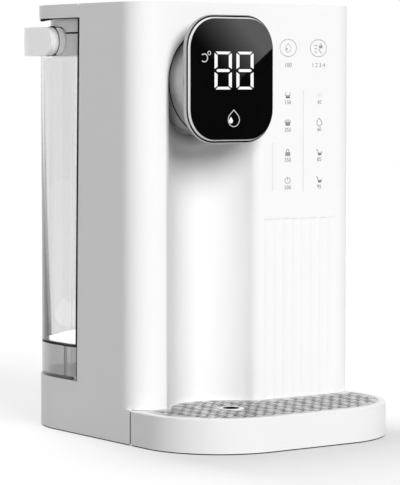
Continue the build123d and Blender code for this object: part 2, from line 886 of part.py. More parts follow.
# Lid: the roof over the tank, hollow below, with its hinge barrels along the front
with BuildPart() as tank_lid:
    with BuildSketch(level(roof_low)):
        add(body_plan())
        with Locations((0, lid_front)):
            Rectangle(2 * body_w, 2 * body_d, align=(MID, MAX), mode=Mode.SUBTRACT)
    extrude(amount=roof_t)
    fillet(tank_lid.edges().filter_by(Axis.X).group_by(Axis.Y)[0].sort_by(Axis.Z)[-1], hinge_r - press_gap)
    with BuildSketch(level(roof_low)):
        add(body_plan(lid_wall))
        with Locations((0, hinge_y + hinge_r + lid_wall)):
            Rectangle(2 * body_w, 2 * body_d, align=(MID, MAX), mode=Mode.SUBTRACT)
    extrude(amount=roof_t - lid_wall, mode=Mode.SUBTRACT)
    for side in (-1, 1):
        with BuildSketch(level(roof_low - past)):
            with Locations((side * hinge_x, lid_front - past)):
                Rectangle(ear_w + 2 * part_gap, hinge_r + hinge_reach + past, align=(MID, MIN))
        extrude(amount=roof_t + 2 * past, mode=Mode.SUBTRACT)
        with BuildSketch(side_plane(side * hinge_x)):
            with Locations((hinge_y, hinge_z)):
                Circle(hinge_pin_r + shaft_gap)
        extrude(amount=hinge_pin_len / 2 + part_gap, both=True, mode=Mode.SUBTRACT)

# Liner under the lid: a skirt that closes on the collar, with a plate across it
with BuildPart() as lid_liner:
    add(tank_block(collar_inset, rim_low, height - lid_wall))
    add(tank_block(rim_inset, rim_low - past, rim_low + seal_t), mode=Mode.SUBTRACT)
    add(tank_block(rim_inset, rim_low + seal_t + lid_wall, height - lid_wall + past), mode=Mode.SUBTRACT)
    for side in (-1, 1):
        with BuildSketch(side_plane(side * (half_w - rim_inset - past))):
            add(boss_plan(2 * part_gap))
        extrude(amount=side * (rim_inset + past), mode=Mode.SUBTRACT)

# Flat seal under the liner's skirt
with BuildPart() as lid_seal:
    add(tank_block(collar_inset + seat_gap, seal_low, rim_low))
    add(tank_block(collar_inset + seal_w, seal_low - past, rim_low + past), mode=Mode.SUBTRACT)
    with BuildSketch(side_plane(-body_w)):
        add(boss_plan(2 * part_gap))
    extrude(amount=2 * body_w, mode=Mode.SUBTRACT)

# Pins of the lid's hinge and of the handle
with BuildPart() as lid_pins:
    for side in (-1, 1):
        with BuildSketch(side_plane(side * hinge_x)):
            with Locations((hinge_y, hinge_z)):
                Circle(hinge_pin_r)
        extrude(amount=hinge_pin_len / 2, both=True)
pin_face = half_w - rim_inset - 2 * collar_wall
with BuildPart() as handle_pins:
    for side in (-1, 1):
        with BuildSketch(side_plane(side * pin_face)):
            with Locations((pivot_y, pivot_z)):
                Circle(pivot_pin_r)
        extrude(amount=side * (half_w - handle_t + pivot_pin_in - pin_face))

# Bail handle round the back of the tank, with a shallow groove round each end
handle_end = handle_h / 2
with BuildPart() as handle:
    with BuildSketch(level(handle_low)):
        with BuildSketch(mode=Mode.PRIVATE) as outside:
            with Locations((0, rear_y + handle_reach)):
                Rectangle(body_w, rear_y + handle_reach - pivot_y + handle_end, align=(MID, MAX))
            fillet(outside.vertices().group_by(Axis.Y)[-1], handle_r)
        with BuildSketch(mode=Mode.PRIVATE) as inside:
            with Locations((0, rear_y + handle_reach - handle_t)):
                Rectangle(body_w - 2 * handle_t, body_d, align=(MID, MAX))
            fillet(inside.vertices().group_by(Axis.Y)[-1], handle_r - handle_t)
        add(outside.sketch)
        add(inside.sketch, mode=Mode.SUBTRACT)
    extrude(amount=handle_h)
    with BuildSketch(side_plane(-body_w)):
        with Locations((pivot_y, pivot_z)):
            Rectangle(handle_h, 2 * handle_h, align=(MAX, MID))
            Circle(handle_end, mode=Mode.SUBTRACT)
    extrude(amount=2 * body_w, mode=Mode.SUBTRACT)
    for side in (-1, 1):
        groove_x = half_w - handle_t / 2
        with BuildSketch(side_plane(side * groove_x)):
            with Locations((pivot_y, pivot_z)):
                Circle(handle_end + past)
                Circle(handle_end - groove_d, mode=Mode.SUBTRACT)
                Rectangle(2 * handle_h, 2 * handle_h, align=(MIN, MID), mode=Mode.SUBTRACT)
        extrude(amount=groove_w / 2, both=True, mode=Mode.SUBTRACT)
        with BuildSketch(side_plane(side * (half_w - handle_t - past))):
            with Locations((pivot_y, pivot_z)):
                Circle(pivot_pin_r + shaft_gap)
        extrude(amount=side * (past + pivot_pin_in + screw_gap), mode=Mode.SUBTRACT)

# Drip tray: a basin with a rim, a tongue in the recess and two tabs into the body
with BuildPart() as drip_tray:
    with BuildSketch(level(foot_h)):
        add(tray_plan())
        with Locations((head_x, front_y)):
            add(recess_plan(-part_gap, lip_r))
    extrude(amount=tray_h)
    with BuildSketch(level(grille_low)):
        add(grille_plan(rim_w, rim_back, part_gap + recess_rim))
    extrude(amount=tray_h, mode=Mode.SUBTRACT)
    with BuildSketch(level(foot_h + tray_floor)):
        add(grille_plan(rim_w + seat_w, rim_back + seat_w, part_gap + recess_rim + seat_w))
    extrude(amount=tray_h, mode=Mode.SUBTRACT)
    with BuildSketch(front_plane(front_y + tray_joint - part_gap)):
        with Locations((-tab_x, tab_h), (tab_x, tab_h)):
            Rectangle(tab_w, tab_t)
    extrude(amount=-tab_len)
    with BuildSketch(level(foot_h)):
        with Locations(*tray_feet_at):
            Circle(tray_foot_r + screw_gap)
    extrude(amount=foot_sink, mode=Mode.SUBTRACT)
    top_edges = drip_tray.faces().filter_by(Axis.Z).sort_by(Axis.Z)[-1].outer_wire().edges()
    chamfer(top_edges.filter_by(lambda e: e.center().Y < front_y - past), tray_edge)

with BuildPart() as tray_feet:
    with BuildSketch(level(0)):
        with Locations(*tray_feet_at):
            Circle(tray_foot_r)
    extrude(amount=foot_h + foot_sink)

# Steel grille with rows of slots that lean to and fro, and the hole over the drain
drain = Vector(head_x, front_y + drain_y)
slots = 0
with BuildPart() as drip_grille:
    with BuildSketch(level(grille_low)):
        add(grille_plan(rim_w + part_gap, rim_back + part_gap, part_gap + recess_rim + part_gap))
        field = grille_plan(rim_w + slot_margin, rim_back + slot_margin, part_gap + recess_rim + slot_margin)
        columns = int(body_w / slot_pitch_x)
        rows = int((tray_reach + recess_d) / slot_pitch_y)
        for j in range(rows):
            y = front_y - tray_reach + rim_w + (j + 0.5) * slot_pitch_y
            lean = slot_turn if j % 2 else -slot_turn
            reach = Vector(slot_len / 2, 0).rotate(Axis.Z, lean)
            spots = [Vector((i - columns / 2 + (j % 2) / 2) * slot_pitch_x, y) for i in range(columns + 1)]
            clear = [p for p in spots if (p - drain).length > grille_ring_r + slot_len / 2]
            kept = [p for p in clear if all(field.is_inside(p + reach * s) for s in (-1.0, 0.0, 1.0))]
            slots += len(kept)
            if kept:
                with Locations(*kept):
                    SlotOverall(slot_len, slot_w, rotation=lean, mode=Mode.SUBTRACT)
        with Locations(drain):
            Circle(ring_hole_r, mode=Mode.SUBTRACT)
    extrude(amount=grille_t)
print("slots in the grille", slots)

# White ring clipped round the hole of the grille
with BuildPart() as grille_ring:
    with BuildSketch(level(grille_top)):
        with Locations(drain):
            Circle(grille_ring_r)
            Circle(ring_hole_r - ring_wall, mode=Mode.SUBTRACT)
    extrude(amount=grille_ring_t)
    with BuildSketch(level(grille_low - ring_skirt)):
        with Locations(drain):
            Circle(ring_hole_r - shaft_gap)
            Circle(ring_hole_r - ring_wall, mode=Mode.SUBTRACT)
    extrude(amount=grille_t + ring_skirt)

# Neck of the head: a round tube through the shell, flanged behind the recess's wall
with BuildPart() as head_neck:
    with BuildSketch(front_plane(neck_rear)):
        with Locations((head_x, head_h)):
            Circle(neck_r)
    extrude(amount=neck_depth + neck_reach)
    with BuildSketch(front_plane(neck_rear)):
        with Locations((head_x, head_h)):
            Circle(neck_flange_r)
    extrude(amount=neck_flange_t)
    with BuildSketch(front_plane(neck_rear)):
        with Locations((head_x, head_h)):
            Circle(neck_r - neck_wall)
    extrude(amount=neck_depth + neck_reach, mode=Mode.SUBTRACT)
    with BuildSketch(level(head_h - neck_r - past)):
        with Locations((head_x, front_y + spout_back)):
            Circle(spout_r + screw_gap)
    extrude(amount=neck_wall + spout_past, mode=Mode.SUBTRACT)

# Frame of the display: a shallow tray with a spigot in the neck
with BuildPart() as display_bezel:
    with BuildSketch(front_plane(neck_front)):
        with Locations((head_x, display_z)):
            add(rounded(display_w, display_h, display_r))
    extrude(amount=display_t)
    with BuildSketch(front_plane(neck_front - bezel_back)):
        with Locations((head_x, display_z)):
            add(rounded(display_w - 2 * bezel_wall, display_h - 2 * bezel_wall, display_r - bezel_wall))
    extrude(amount=display_t, mode=Mode.SUBTRACT)
    with BuildSketch(front_plane(neck_front)):
        with Locations((head_x, head_h)):
            Circle(neck_r - neck_wall - seat_gap)
    extrude(amount=-spigot_len)
    with BuildSketch(front_plane(neck_front + spigot_len)):
        with Locations((head_x, head_h)):
            Circle(bezel_window_r)
    extrude(amount=spigot_len + display_t, mode=Mode.SUBTRACT)

ring_inset = bezel_wall + screw_gap
glass_inset = ring_inset + ring_w + screw_gap
with BuildPart() as display_ring:
    with BuildSketch(front_plane(display_front)):
        with Locations((head_x, display_z)):
            add(rounded(display_w - 2 * ring_inset, display_h - 2 * ring_inset, display_r - ring_inset))
        with Locations((head_x, display_z)):
            add(rounded(display_w - 2 * (ring_inset + ring_w), display_h - 2 * (ring_inset + ring_w),
                        display_r - ring_inset - ring_w), mode=Mode.SUBTRACT)
    extrude(amount=-(display_t - bezel_back))

with BuildPart() as display_glass:
    with BuildSketch(front_plane(display_front)):
        with Locations((head_x, display_z)):
            add(rounded(display_w - 2 * glass_inset, display_h - 2 * glass_inset, display_r - glass_inset))
    extrude(amount=-glass_t)

# Light chamber between the glass and the bezel's back, the digits and their board
led_back = neck_front + spigot_len
with BuildPart() as light_frame:
    with BuildSketch(front_plane(display_front + glass_t)):
        with Locations((head_x, display_z)):
            add(rounded(display_w - 2 * glass_inset, display_h - 2 * glass_inset, display_r - glass_inset))
            chamber_inset = glass_inset + light_wall
            add(rounded(display_w - 2 * chamber_inset, display_h - 2 * chamber_inset,
                        display_r - chamber_inset), mode=Mode.SUBTRACT)
    extrude(amount=-(display_t - bezel_back - glass_t))
with BuildPart() as display_board:
    with BuildSketch(front_plane(led_back)):
        with Locations((head_x, head_h)):
            Circle(neck_r - neck_wall - seat_gap)
            with Locations((0, -neck_r)):
                Rectangle(2 * neck_r, 2 * board_flat, mode=Mode.SUBTRACT)
    extrude(amount=-board_t)
with BuildPart() as led_digits:
    with BuildSketch(front_plane(led_back)):
        with Locations((head_x, head_h + led_rise)):
            Rectangle(led_w, led_h)
    extrude(amount=led_back - display_front - glass_t)

# Spout under the neck, with its hose stub inside
spout_y = front_y + spout_back
neck_low = head_h - neck_r
spout_seat = head_h - sqrt((neck_r - neck_wall) ** 2 - spout_flange_r**2) + screw_gap
spout_top = spout_seat + seal_t + spout_flange_t
with BuildPart() as spout_nozzle:
    with BuildSketch(level(neck_low - spout_drop)):
        with Locations((head_x, spout_y)):
            Circle(spout_r)
    extrude(amount=spout_top - neck_low + spout_drop)
    with BuildSketch(level(spout_seat + seal_t)):
        with Locations((head_x, spout_y)):
            Circle(spout_flange_r)
    extrude(amount=spout_flange_t)
    with BuildSketch(level(spout_top)):
        with Locations((head_x, spout_y)):
            Circle(stub_r)
    extrude(amount=stub_len)
    with BuildSketch(level(neck_low - spout_drop)):
        with Locations((head_x, spout_y)):
            Circle(stub_bore_r)
    extrude(amount=height, mode=Mode.SUBTRACT)
with BuildPart() as spout_seal:
    with BuildSketch(level(spout_seat)):
        with Locations((head_x, spout_y)):
            Circle(spout_flange_r)
            Circle(spout_r + screw_gap, mode=Mode.SUBTRACT)
    extrude(amount=seal_t)

# Pump: rubber mounts, bracket, housing with its cover, rotor and motor
pump_y = front_y + pump_back
bracket_low = pan_top + mount_h
pump_low = bracket_low + bracket_t
rotor_low = pump_low + pump_wall + part_gap
cover_low = pump_low + pump_h
motor_low = cover_low + pump_lid_t
mount_points = [(pump_x + sx * (bracket_w / 2 - mount_r), pump_y + sy * (bracket_w / 2 - mount_r))
                for sx in (-1, 1) for sy in (-1, 1)]
with BuildPart() as pump_mounts:
    with BuildSketch(level(pan_top)):
        with Locations(*mount_points):
            Circle(mount_r)
    extrude(amount=mount_h)
with BuildPart() as pump_bracket:
    with BuildSketch(level(bracket_low)):
        with Locations((pump_x, pump_y)):
            RectangleRounded(bracket_w, bracket_w, mount_r)
    extrude(amount=bracket_t)
with BuildPart() as pump_body:
    with BuildSketch(level(pump_low)):
        with Locations((pump_x, pump_y)):
            Circle(pump_r)
    extrude(amount=pump_h)
    for side in (-1, 1):
        with BuildSketch(side_plane(pump_x)):
            with Locations((pump_y, hose_z)):
                Circle(stub_r)
        extrude(amount=side * (pump_r + stub_len))
    with BuildSketch(level(pump_low + pump_wall)):
        with Locations((pump_x, pump_y)):
            Circle(rotor_r + rotor_room)
    extrude(amount=pump_h, mode=Mode.SUBTRACT)
    with BuildSketch(side_plane(pump_x - pump_r - stub_len)):
        with Locations((pump_y, hose_z)):
            Circle(stub_bore_r)
    extrude(amount=2 * (pump_r + stub_len), mode=Mode.SUBTRACT)
with BuildPart() as pump_cover:
    with BuildSketch(level(cover_low)):
        with Locations((pump_x, pump_y)):
            Circle(pump_r)
            Circle(shaft_r + shaft_gap, mode=Mode.SUBTRACT)
    extrude(amount=pump_lid_t)
with BuildPart() as pump_motor:
    with BuildSketch(level(motor_low)):
        with Locations((pump_x, pump_y)):
            Circle(motor_r)
    extrude(amount=motor_h)
    with BuildSketch(level(motor_low + motor_h)):
        with Locations((pump_x, pump_y)):
            Circle(bearing_r)
    extrude(amount=bearing_t)
    with BuildSketch(level(motor_low)):
        with Locations((pump_x, pump_y)):
            Circle(shaft_r + shaft_gap)
    extrude(amount=shaft_in + part_gap, mode=Mode.SUBTRACT)
with BuildPart() as pump_rotor:
    with BuildSketch(level(rotor_low)):
        with Locations((pump_x, pump_y)):
            Circle(hub_r)
            with PolarLocations(0, vane_count):
                Rectangle(rotor_r, vane_t, align=(MIN, MID))
    extrude(amount=rotor_h)
    with BuildSketch(level(rotor_low)):
        with Locations((pump_x, pump_y)):
            Circle(shaft_r)
    extrude(amount=motor_low + shaft_in - rotor_low)

# Heater: a steel tube between two capped ends, on two brackets from the bulkhead
heater_y = front_y + pump_back
heater_high = outlet_z - heater_drop
heater_low = heater_high - heater_len
with BuildPart() as heater_tube:
    with BuildSketch(level(heater_low)):
        with Locations((heater_x, heater_y)):
            Circle(heater_r)
            Circle(heater_r - heater_wall, mode=Mode.SUBTRACT)
    extrude(amount=heater_len)
with BuildPart() as heater_caps:
    for face, side in ((heater_low, -1), (heater_high, 1)):
        with BuildSketch(level(face)):
            with Locations((heater_x, heater_y)):
                Circle(heater_cap_r)
        extrude(amount=side * heater_cap_t)
        with BuildSketch(level(face + side * heater_cap_t)):
            with Locations((heater_x, heater_y)):
                Circle(stub_r)
        extrude(amount=side * stub_len)
        with BuildSketch(level(face)):
            with Locations((heater_x, heater_y)):
                Circle(stub_bore_r)
        extrude(amount=side * (heater_cap_t + stub_len), mode=Mode.SUBTRACT)
with BuildPart() as heater_brackets:
    for z in (heater_low + bracket_in, heater_high - bracket_in - bracket_h):
        with BuildSketch(level(z)):
            with Locations((heater_x, heater_y)):
                Circle(heater_r + seat_gap + bracket_ring)
                Rectangle(2 * bracket_ring, bulkhead_y - heater_y, align=(MID, MIN))
            with Locations((heater_x, bulkhead_y)):
                Rectangle(heater_r, bracket_ring, align=(MID, MAX))
            with Locations((heater_x, heater_y)):
                Circle(heater_r + seat_gap, mode=Mode.SUBTRACT)
        extrude(amount=bracket_h)
with BuildPart() as thermostats:
    thermostat_face = heater_y - heater_r - screw_gap
    for z in (heater_low + thermostat_in, heater_high - thermostat_in):
        with BuildSketch(front_plane(thermostat_face)):
            with Locations((heater_x, z)):
                Circle(thermostat_r)
        extrude(amount=thermostat_t)
        with BuildSketch(front_plane(thermostat_face - thermostat_t)):
            with Locations((heater_x - terminal_x, z), (heater_x + terminal_x, z)):
                Rectangle(terminal_t, terminal_w)
        extrude(amount=terminal_len)
with BuildPart() as temperature_sensor:
    with BuildSketch(front_plane(heater_y - heater_cap_r)):
        with Locations((heater_x, heater_high + heater_cap_t / 2)):
            Circle(sensor_r)
    extrude(amount=sensor_len)

# Hoses: tank socket to pump, pump to heater, heater to spout
with BuildPart() as inlet_hose:
    add(hose([(0, valve_y - sump_r - screw_gap, hose_z), (0, pump_y, hose_z),
              (pump_x - pump_r - screw_gap, pump_y, hose_z)], hose_bend))
with BuildPart() as pump_hose:
    add(hose([(pump_x + pump_r + screw_gap, pump_y, hose_z), (heater_x, pump_y, hose_z),
              (heater_x, heater_y, heater_low - heater_cap_t - screw_gap)], hose_bend))
with BuildPart() as outlet_hose:
    add(hose([(heater_x, heater_y, heater_high + heater_cap_t + screw_gap), (heater_x, heater_y, outlet_z),
              (head_x, heater_y, outlet_z), (head_x, spout_y, outlet_z),
              (head_x, spout_y, spout_top + screw_gap)], outlet_bend))

# Touch board behind the front face, with its pads pressed to the face
with BuildPart() as touch_board:
    with BuildSketch(front_plane(front_y + wall + pad_len)):
        with Locations(((panel_left + panel_right) / 2, (panel_low + panel_high) / 2)):
            RectangleRounded(panel_right - panel_left, panel_h, panel_corner_r)
    extrude(amount=-board_t)
with BuildPart() as touch_pads:
    with BuildSketch(front_plane(front_y + wall)):
        with Locations(*pad_points, *key_points):
            Circle(pad_r)
    extrude(amount=-pad_len)

# Power board on the side wall, with its transformer, relay and capacitors
with BuildPart() as power_board:
    with BuildSketch(side_plane(board_x - board_t)):
        with Locations((front_y + (board_near + board_far) / 2, (board_low + board_high) / 2)):
            RectangleRounded(board_far - board_near, board_high - board_low, board_corner_r)
    extrude(amount=board_t)
with BuildPart() as board_parts:
    board_corner = Plane(origin=(board_x, front_y + board_near, board_low), x_dir=(0, 1, 0), z_dir=(1, 0, 0))
    for block, place in ((transformer, transformer_at), (relay, relay_at)):
        with BuildSketch(board_corner):
            with Locations(place):
                Rectangle(block[0], block[1])
        extrude(amount=block[2])
    with BuildSketch(board_corner):
        with Locations(*capacitors_at):
            Circle(capacitor_r)
    extrude(amount=capacitor_h)

# Gland where the mains lead would enter
with BuildPart() as cord_gland:
    with BuildSketch(front_plane(rear_y + gland_flange_t)):
        with Locations((gland_x, gland_z)):
            Circle(gland_flange_r)
    extrude(amount=gland_flange_t)
    with BuildSketch(front_plane(rear_y)):
        with Locations((gland_x, gland_z)):
            Circle(gland_r)
    extrude(amount=gland_len)
    with BuildSketch(front_plane(rear_y + gland_flange_t)):
        with Locations((gland_x, gland_z)):
            Circle(cord_r)
    extrude(amount=gland_flange_t + gland_len, mode=Mode.SUBTRACT)

pieces = {
    "outer_shell": outer_shell,
    "top_cover": top_cover,
    "bulkhead": bulkhead,
    "bulkhead_screws": bulkhead_screws,
    "base_pan": base_pan,
    "rubber_feet": rubber_feet,
    "tank_deck": tank_deck,
    "base_screws": base_screws,
    "valve_socket": valve_socket,
    "socket_pin": socket_pin,
    "socket_seal": socket_seal,
    "head_neck": head_neck,
    "display_bezel": display_bezel,
    "display_ring": display_ring,
    "display_glass": display_glass,
    "light_frame": light_frame,
    "display_board": display_board,
    "led_digits": led_digits,
    "spout_nozzle": spout_nozzle,
    "spout_seal": spout_seal,
    "pump_mounts": pump_mounts,
    "pump_bracket": pump_bracket,
    "pump_body": pump_body,
    "pump_cover": pump_cover,
    "pump_motor": pump_motor,
    "pump_rotor": pump_rotor,
    "heater_tube": heater_tube,
    "heater_caps": heater_caps,
    "heater_brackets": heater_brackets,
    "thermostats": thermostats,
    "temperature_sensor": temperature_sensor,
    "inlet_hose": inlet_hose,
    "pump_hose": pump_hose,
    "outlet_hose": outlet_hose,
    "touch_board": touch_board,
    "touch_pads": touch_pads,
    "power_board": power_board,
    "board_parts": board_parts,
    "cord_gland": cord_gland,
    "clear_tank": clear_tank,
    "tank_gasket": tank_gasket,
    "tank_insert": tank_insert,
    "tank_base": tank_base,
    "tank_collar": tank_collar,
    "lid_pins": lid_pins,
    "handle_pins": handle_pins,
    "valve_body": valve_body,
    "valve_cap": valve_cap,
    "valve_poppet": valve_poppet,
    "valve_spring": valve_spring,
    "tank_lid": tank_lid,
    "lid_liner": lid_liner,
    "lid_seal": lid_seal,
    "handle": handle,
    "drip_tray": drip_tray,
    "tray_feet": tray_feet,
    "drip_grille": drip_grille,
    "grille_ring": grille_ring,
}
os.makedirs("parts", exist_ok=True)
for name, piece in pieces.items():
    piece.part.label = name
    export_step(piece.part, f"parts/{name}.step")
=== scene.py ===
# %% [markdown]
# # An instant hot water dispenser
# The machine stands on a worktop: a white upright body with a recess for the cup, a round head with a
# black display over it, a touch panel beside it, a drip tray in front and a clear water tank behind.
# Its solids come from a imported CAD model in metres, so the first step loads that model as a fixed frame.
# All that is added later has to stay inside that box.

# %% Load the imported model
import json
import math

import bpy
from mathutils import Matrix, Vector


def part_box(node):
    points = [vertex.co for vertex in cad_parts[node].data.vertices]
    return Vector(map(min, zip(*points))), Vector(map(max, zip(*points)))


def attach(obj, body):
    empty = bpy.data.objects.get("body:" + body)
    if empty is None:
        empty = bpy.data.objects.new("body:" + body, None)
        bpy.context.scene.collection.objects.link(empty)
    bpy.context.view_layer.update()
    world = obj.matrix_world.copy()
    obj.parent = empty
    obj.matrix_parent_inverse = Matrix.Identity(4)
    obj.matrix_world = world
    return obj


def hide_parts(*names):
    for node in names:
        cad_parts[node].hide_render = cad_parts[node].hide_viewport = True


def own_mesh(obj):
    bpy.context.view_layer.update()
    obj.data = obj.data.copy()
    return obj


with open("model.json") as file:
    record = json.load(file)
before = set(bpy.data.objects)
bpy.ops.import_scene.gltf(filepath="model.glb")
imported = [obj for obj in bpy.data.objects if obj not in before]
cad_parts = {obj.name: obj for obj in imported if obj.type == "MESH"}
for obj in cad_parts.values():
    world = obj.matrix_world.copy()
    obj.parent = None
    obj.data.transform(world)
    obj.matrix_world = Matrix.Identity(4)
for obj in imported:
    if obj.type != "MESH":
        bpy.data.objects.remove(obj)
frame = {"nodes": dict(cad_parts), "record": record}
nodes = frame["nodes"]
slot_of = {part["node"]: part["material_slot"] for part in frame["record"]["subparts"]}
MM = 0.001


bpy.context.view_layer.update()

# %% [markdown]
# ## Camera
# The photo looks at the machine from its left, a little above the worktop. A long lens far away keeps
# the upright edges nearly parallel, as they are there. The place and the turn were fitted to edges and
# corners of the machine, so the picture frame needs no shift.

# %% Camera at the photo's angle
bpy.ops.object.camera_add(location=(-1.06876, -1.48602, 0.26247),
                          rotation=(math.radians(86.184), 0, math.radians(-35.624)))
camera = bpy.context.object
camera.name = "photo_camera"
camera.data.lens = 179.98
camera.data.sensor_width = 36
bpy.context.scene.camera = camera
bpy.context.scene.view_settings.view_transform = "Standard"
print("lens", camera.data.lens)

# %% [markdown]
# ## Worktop and background
# The photo has a white ground that shows only a soft shadow where the machine stands. The worktop is
# a plain diffuse plane, and extra light from it reaches the camera alone, so that it turns white
# where nothing shades it. That extra light fades towards the machine's outline, a rounded oblong, and
# it does so over a longer way in front: a painted soft shadow round the machine. The world does the
# same: it is white for the camera and for what glass and metal show, and weaker as a light, so that
# white plastic keeps its shades.

# %% Light that only shows, and light that falls
AMBIENT = 0.12
FLOOR_TONE = 0.34
FLOOR_LIFT = 0.72


def seen_directly(tree):
    """Gives 1 for rays from the camera, through glass or off a gloss, and 0 for all others."""
    path = tree.nodes.new("ShaderNodeLightPath")
    total = path.outputs["Is Camera Ray"]
    for ray in ("Is Glossy Ray", "Is Transmission Ray"):
        plus = tree.nodes.new("ShaderNodeMath")
        plus.operation = "ADD"
        plus.use_clamp = True
        tree.links.new(total, plus.inputs[0])
        tree.links.new(path.outputs[ray], plus.inputs[1])
        total = plus.outputs[0]
    return total


world = bpy.data.worlds.new("white_studio")
world.use_nodes = True
bpy.context.scene.world = world
sky = world.node_tree
level = sky.nodes.new("ShaderNodeMapRange")
level.inputs["To Min"].default_value = AMBIENT
sky.links.new(seen_directly(sky), level.inputs["Value"])
sky.nodes["Background"].inputs["Color"].default_value = (1, 1, 1, 1)
sky.links.new(level.outputs["Result"], sky.nodes["Background"].inputs["Strength"])
print("ambient", AMBIENT)

# %% Math nodes and places


def math_node(tree, kind, first, second=None, third=None, clamp=False):
    """One Math node; numbers are set on its sockets and the rest is linked."""
    node = tree.nodes.new("ShaderNodeMath")
    node.operation = kind
    node.use_clamp = clamp
    for socket, value in zip(node.inputs, (first, second, third)):
        if isinstance(value, (int, float)):
            socket.default_value = value
        elif value is not None:
            tree.links.new(value, socket)
    return node.outputs[0]


def places(tree):
    """X, Y and Z of the place on a piece, in metres, by name."""
    place = tree.nodes.new("ShaderNodeTexCoord")
    axes = tree.nodes.new("ShaderNodeSeparateXYZ")
    tree.links.new(place.outputs["Object"], axes.inputs[0])
    return axes.outputs


print("worktop tone", FLOOR_TONE, "lift", FLOOR_LIFT)

# %% Worktop with a painted soft shadow
SHADOW_DEPTH, SHADOW_LEAST = 0.29, 0.25
CORNER, CORNER_RATE = 0.060, 3.0
AHEAD_RATE, AHEAD_START = -4.0, 0.55
bpy.ops.mesh.primitive_plane_add(size=8, location=(0, 0, 0))
floor = bpy.context.object
floor.name = "worktop"
paint = bpy.data.materials.new("worktop_white")
paint.use_nodes = True
tree = paint.node_tree
surface = tree.nodes["Principled BSDF"]
surface.inputs["Base Color"].default_value = (FLOOR_TONE, FLOOR_TONE, FLOOR_TONE, 1)
surface.inputs["Roughness"].default_value = 0.9
surface.inputs["Specular IOR Level"].default_value = 0
surface.inputs["Emission Color"].default_value = (1, 1, 1, 1)
axes = places(tree)
squares, ways = [], []
for axis, middle, flat, reach in (("X", 0.0, 0.041, 0.050), ("Y", -0.010, 0.064, 0.19)):
    off = math_node(tree, "SUBTRACT", axes[axis], middle)
    off = math_node(tree, "ABSOLUTE", off)
    off = math_node(tree, "SUBTRACT", off, flat)
    off = math_node(tree, "MAXIMUM", off, 0.0)
    past = math_node(tree, "SUBTRACT", off, CORNER)
    past = math_node(tree, "MAXIMUM", past, 0.0)
    squares.append(math_node(tree, "MULTIPLY", off, off))
    ways.append(math_node(tree, "DIVIDE", past, reach))
round_way = math_node(tree, "SQRT", math_node(tree, "ADD", *squares))
round_way = math_node(tree, "MAXIMUM", math_node(tree, "SUBTRACT", round_way, CORNER), 0.0)
round_way = math_node(tree, "MULTIPLY", round_way, CORNER_RATE)
way = math_node(tree, "ADD", math_node(tree, "ADD", *ways), round_way)
fade = math_node(tree, "EXPONENT", math_node(tree, "MULTIPLY", way, -1.0))
ahead = math_node(tree, "MULTIPLY_ADD", axes["Y"], AHEAD_RATE, AHEAD_START, clamp=True)
# Painted soft shadow: the worktop's camera-only light is lowered near the machine.
painted_shadow = math_node(tree, "MULTIPLY", fade, math_node(tree, "MAXIMUM", ahead, SHADOW_LEAST))
painted_shadow = math_node(tree, "MULTIPLY_ADD", painted_shadow, -SHADOW_DEPTH, FLOOR_LIFT)
tree.links.new(math_node(tree, "MULTIPLY", seen_directly(tree), painted_shadow), surface.inputs["Emission Strength"])
floor.data.materials.append(paint)
print("worktop", floor.dimensions[:])

# %% [markdown]
# ## Lamps and dark card
# A large soft lamp in front and well above lights the front face and leaves a soft shadow under the
# head, and a weaker one from the left keeps the side wall an even grey. A third from behind and above
# throws a faint broad shadow forward on the worktop. All stand far off, so that the front is as bright
# at its foot as at its top. The display is a dark mirror, and what it shows is the studio: bright at
# the upper right, with a straight slanted edge where a dark card begins. The card is a stage piece
# that only glossy rays meet, placed where the display mirrors it to the camera.

# %% Front, side and back lamps


def far_lamp(name, side, tone, spread):
    """Lamp far off to a side, as wide as spread degrees; a white face square to it gets tone brighter."""
    bpy.ops.object.light_add(type="SUN", location=(0, 0, 1))
    lamp = bpy.context.object
    lamp.name = name
    lamp.rotation_euler = Vector(side).to_track_quat("Z", "Y").to_euler()
    lamp.data.angle = math.radians(spread)
    lamp.data.energy = math.pi * tone
    lamp.visible_glossy = False
    print(name, "strength", round(lamp.data.energy, 2))


far_lamp("front_lamp", (-0.07, -0.87, 0.48), 0.945, 36)
far_lamp("side_lamp", (-1.0, 0.08, 0.12), 0.165, 30)
far_lamp("back_lamp", (0.10, 0.62, 0.78), 0.46, 60)

# %% Card that the display mirrors
GLOW_ACROSS, GLOW_UP, GLOW_START, GLOW_CURVE = 12.4, 9.8, 0.11, 1.6
EDGE_LEAN, EDGE_AT = -0.958, -0.0108
bpy.ops.mesh.primitive_plane_add(size=0.8, location=(0.8564, -1.2875, 0.2645))
card = bpy.context.object
card.name = "display_card"
right = Vector((0.8129, 0.5825, 0)).normalized()
away = Vector((0.5812, -0.8111, -0.0666))
up = away.cross(right).normalized()
card.rotation_euler = Matrix((right, up, right.cross(up))).transposed().to_euler()
paint = bpy.data.materials.new("card_shade")
paint.use_nodes = True
tree = paint.node_tree
tree.nodes.clear()
axes = places(tree)
glow = math_node(tree, "MULTIPLY", axes["X"], GLOW_ACROSS)
glow = math_node(tree, "MULTIPLY_ADD", axes["Y"], GLOW_UP, glow)
glow = math_node(tree, "ADD", glow, GLOW_START, clamp=True)
glow = math_node(tree, "POWER", glow, GLOW_CURVE)
edge = math_node(tree, "MULTIPLY_ADD", axes["X"], EDGE_LEAN, axes["Y"])
edge = math_node(tree, "GREATER_THAN", edge, EDGE_AT)
glow = math_node(tree, "MULTIPLY", glow, edge)
shine = tree.nodes.new("ShaderNodeEmission")
tree.links.new(glow, shine.inputs["Strength"])
end = tree.nodes.new("ShaderNodeOutputMaterial")
tree.links.new(shine.outputs[0], end.inputs["Surface"])
card.data.materials.append(paint)
card.visible_camera = False
card.visible_diffuse = False
card.visible_shadow = False
card.visible_transmission = False
print("card up", up[:])

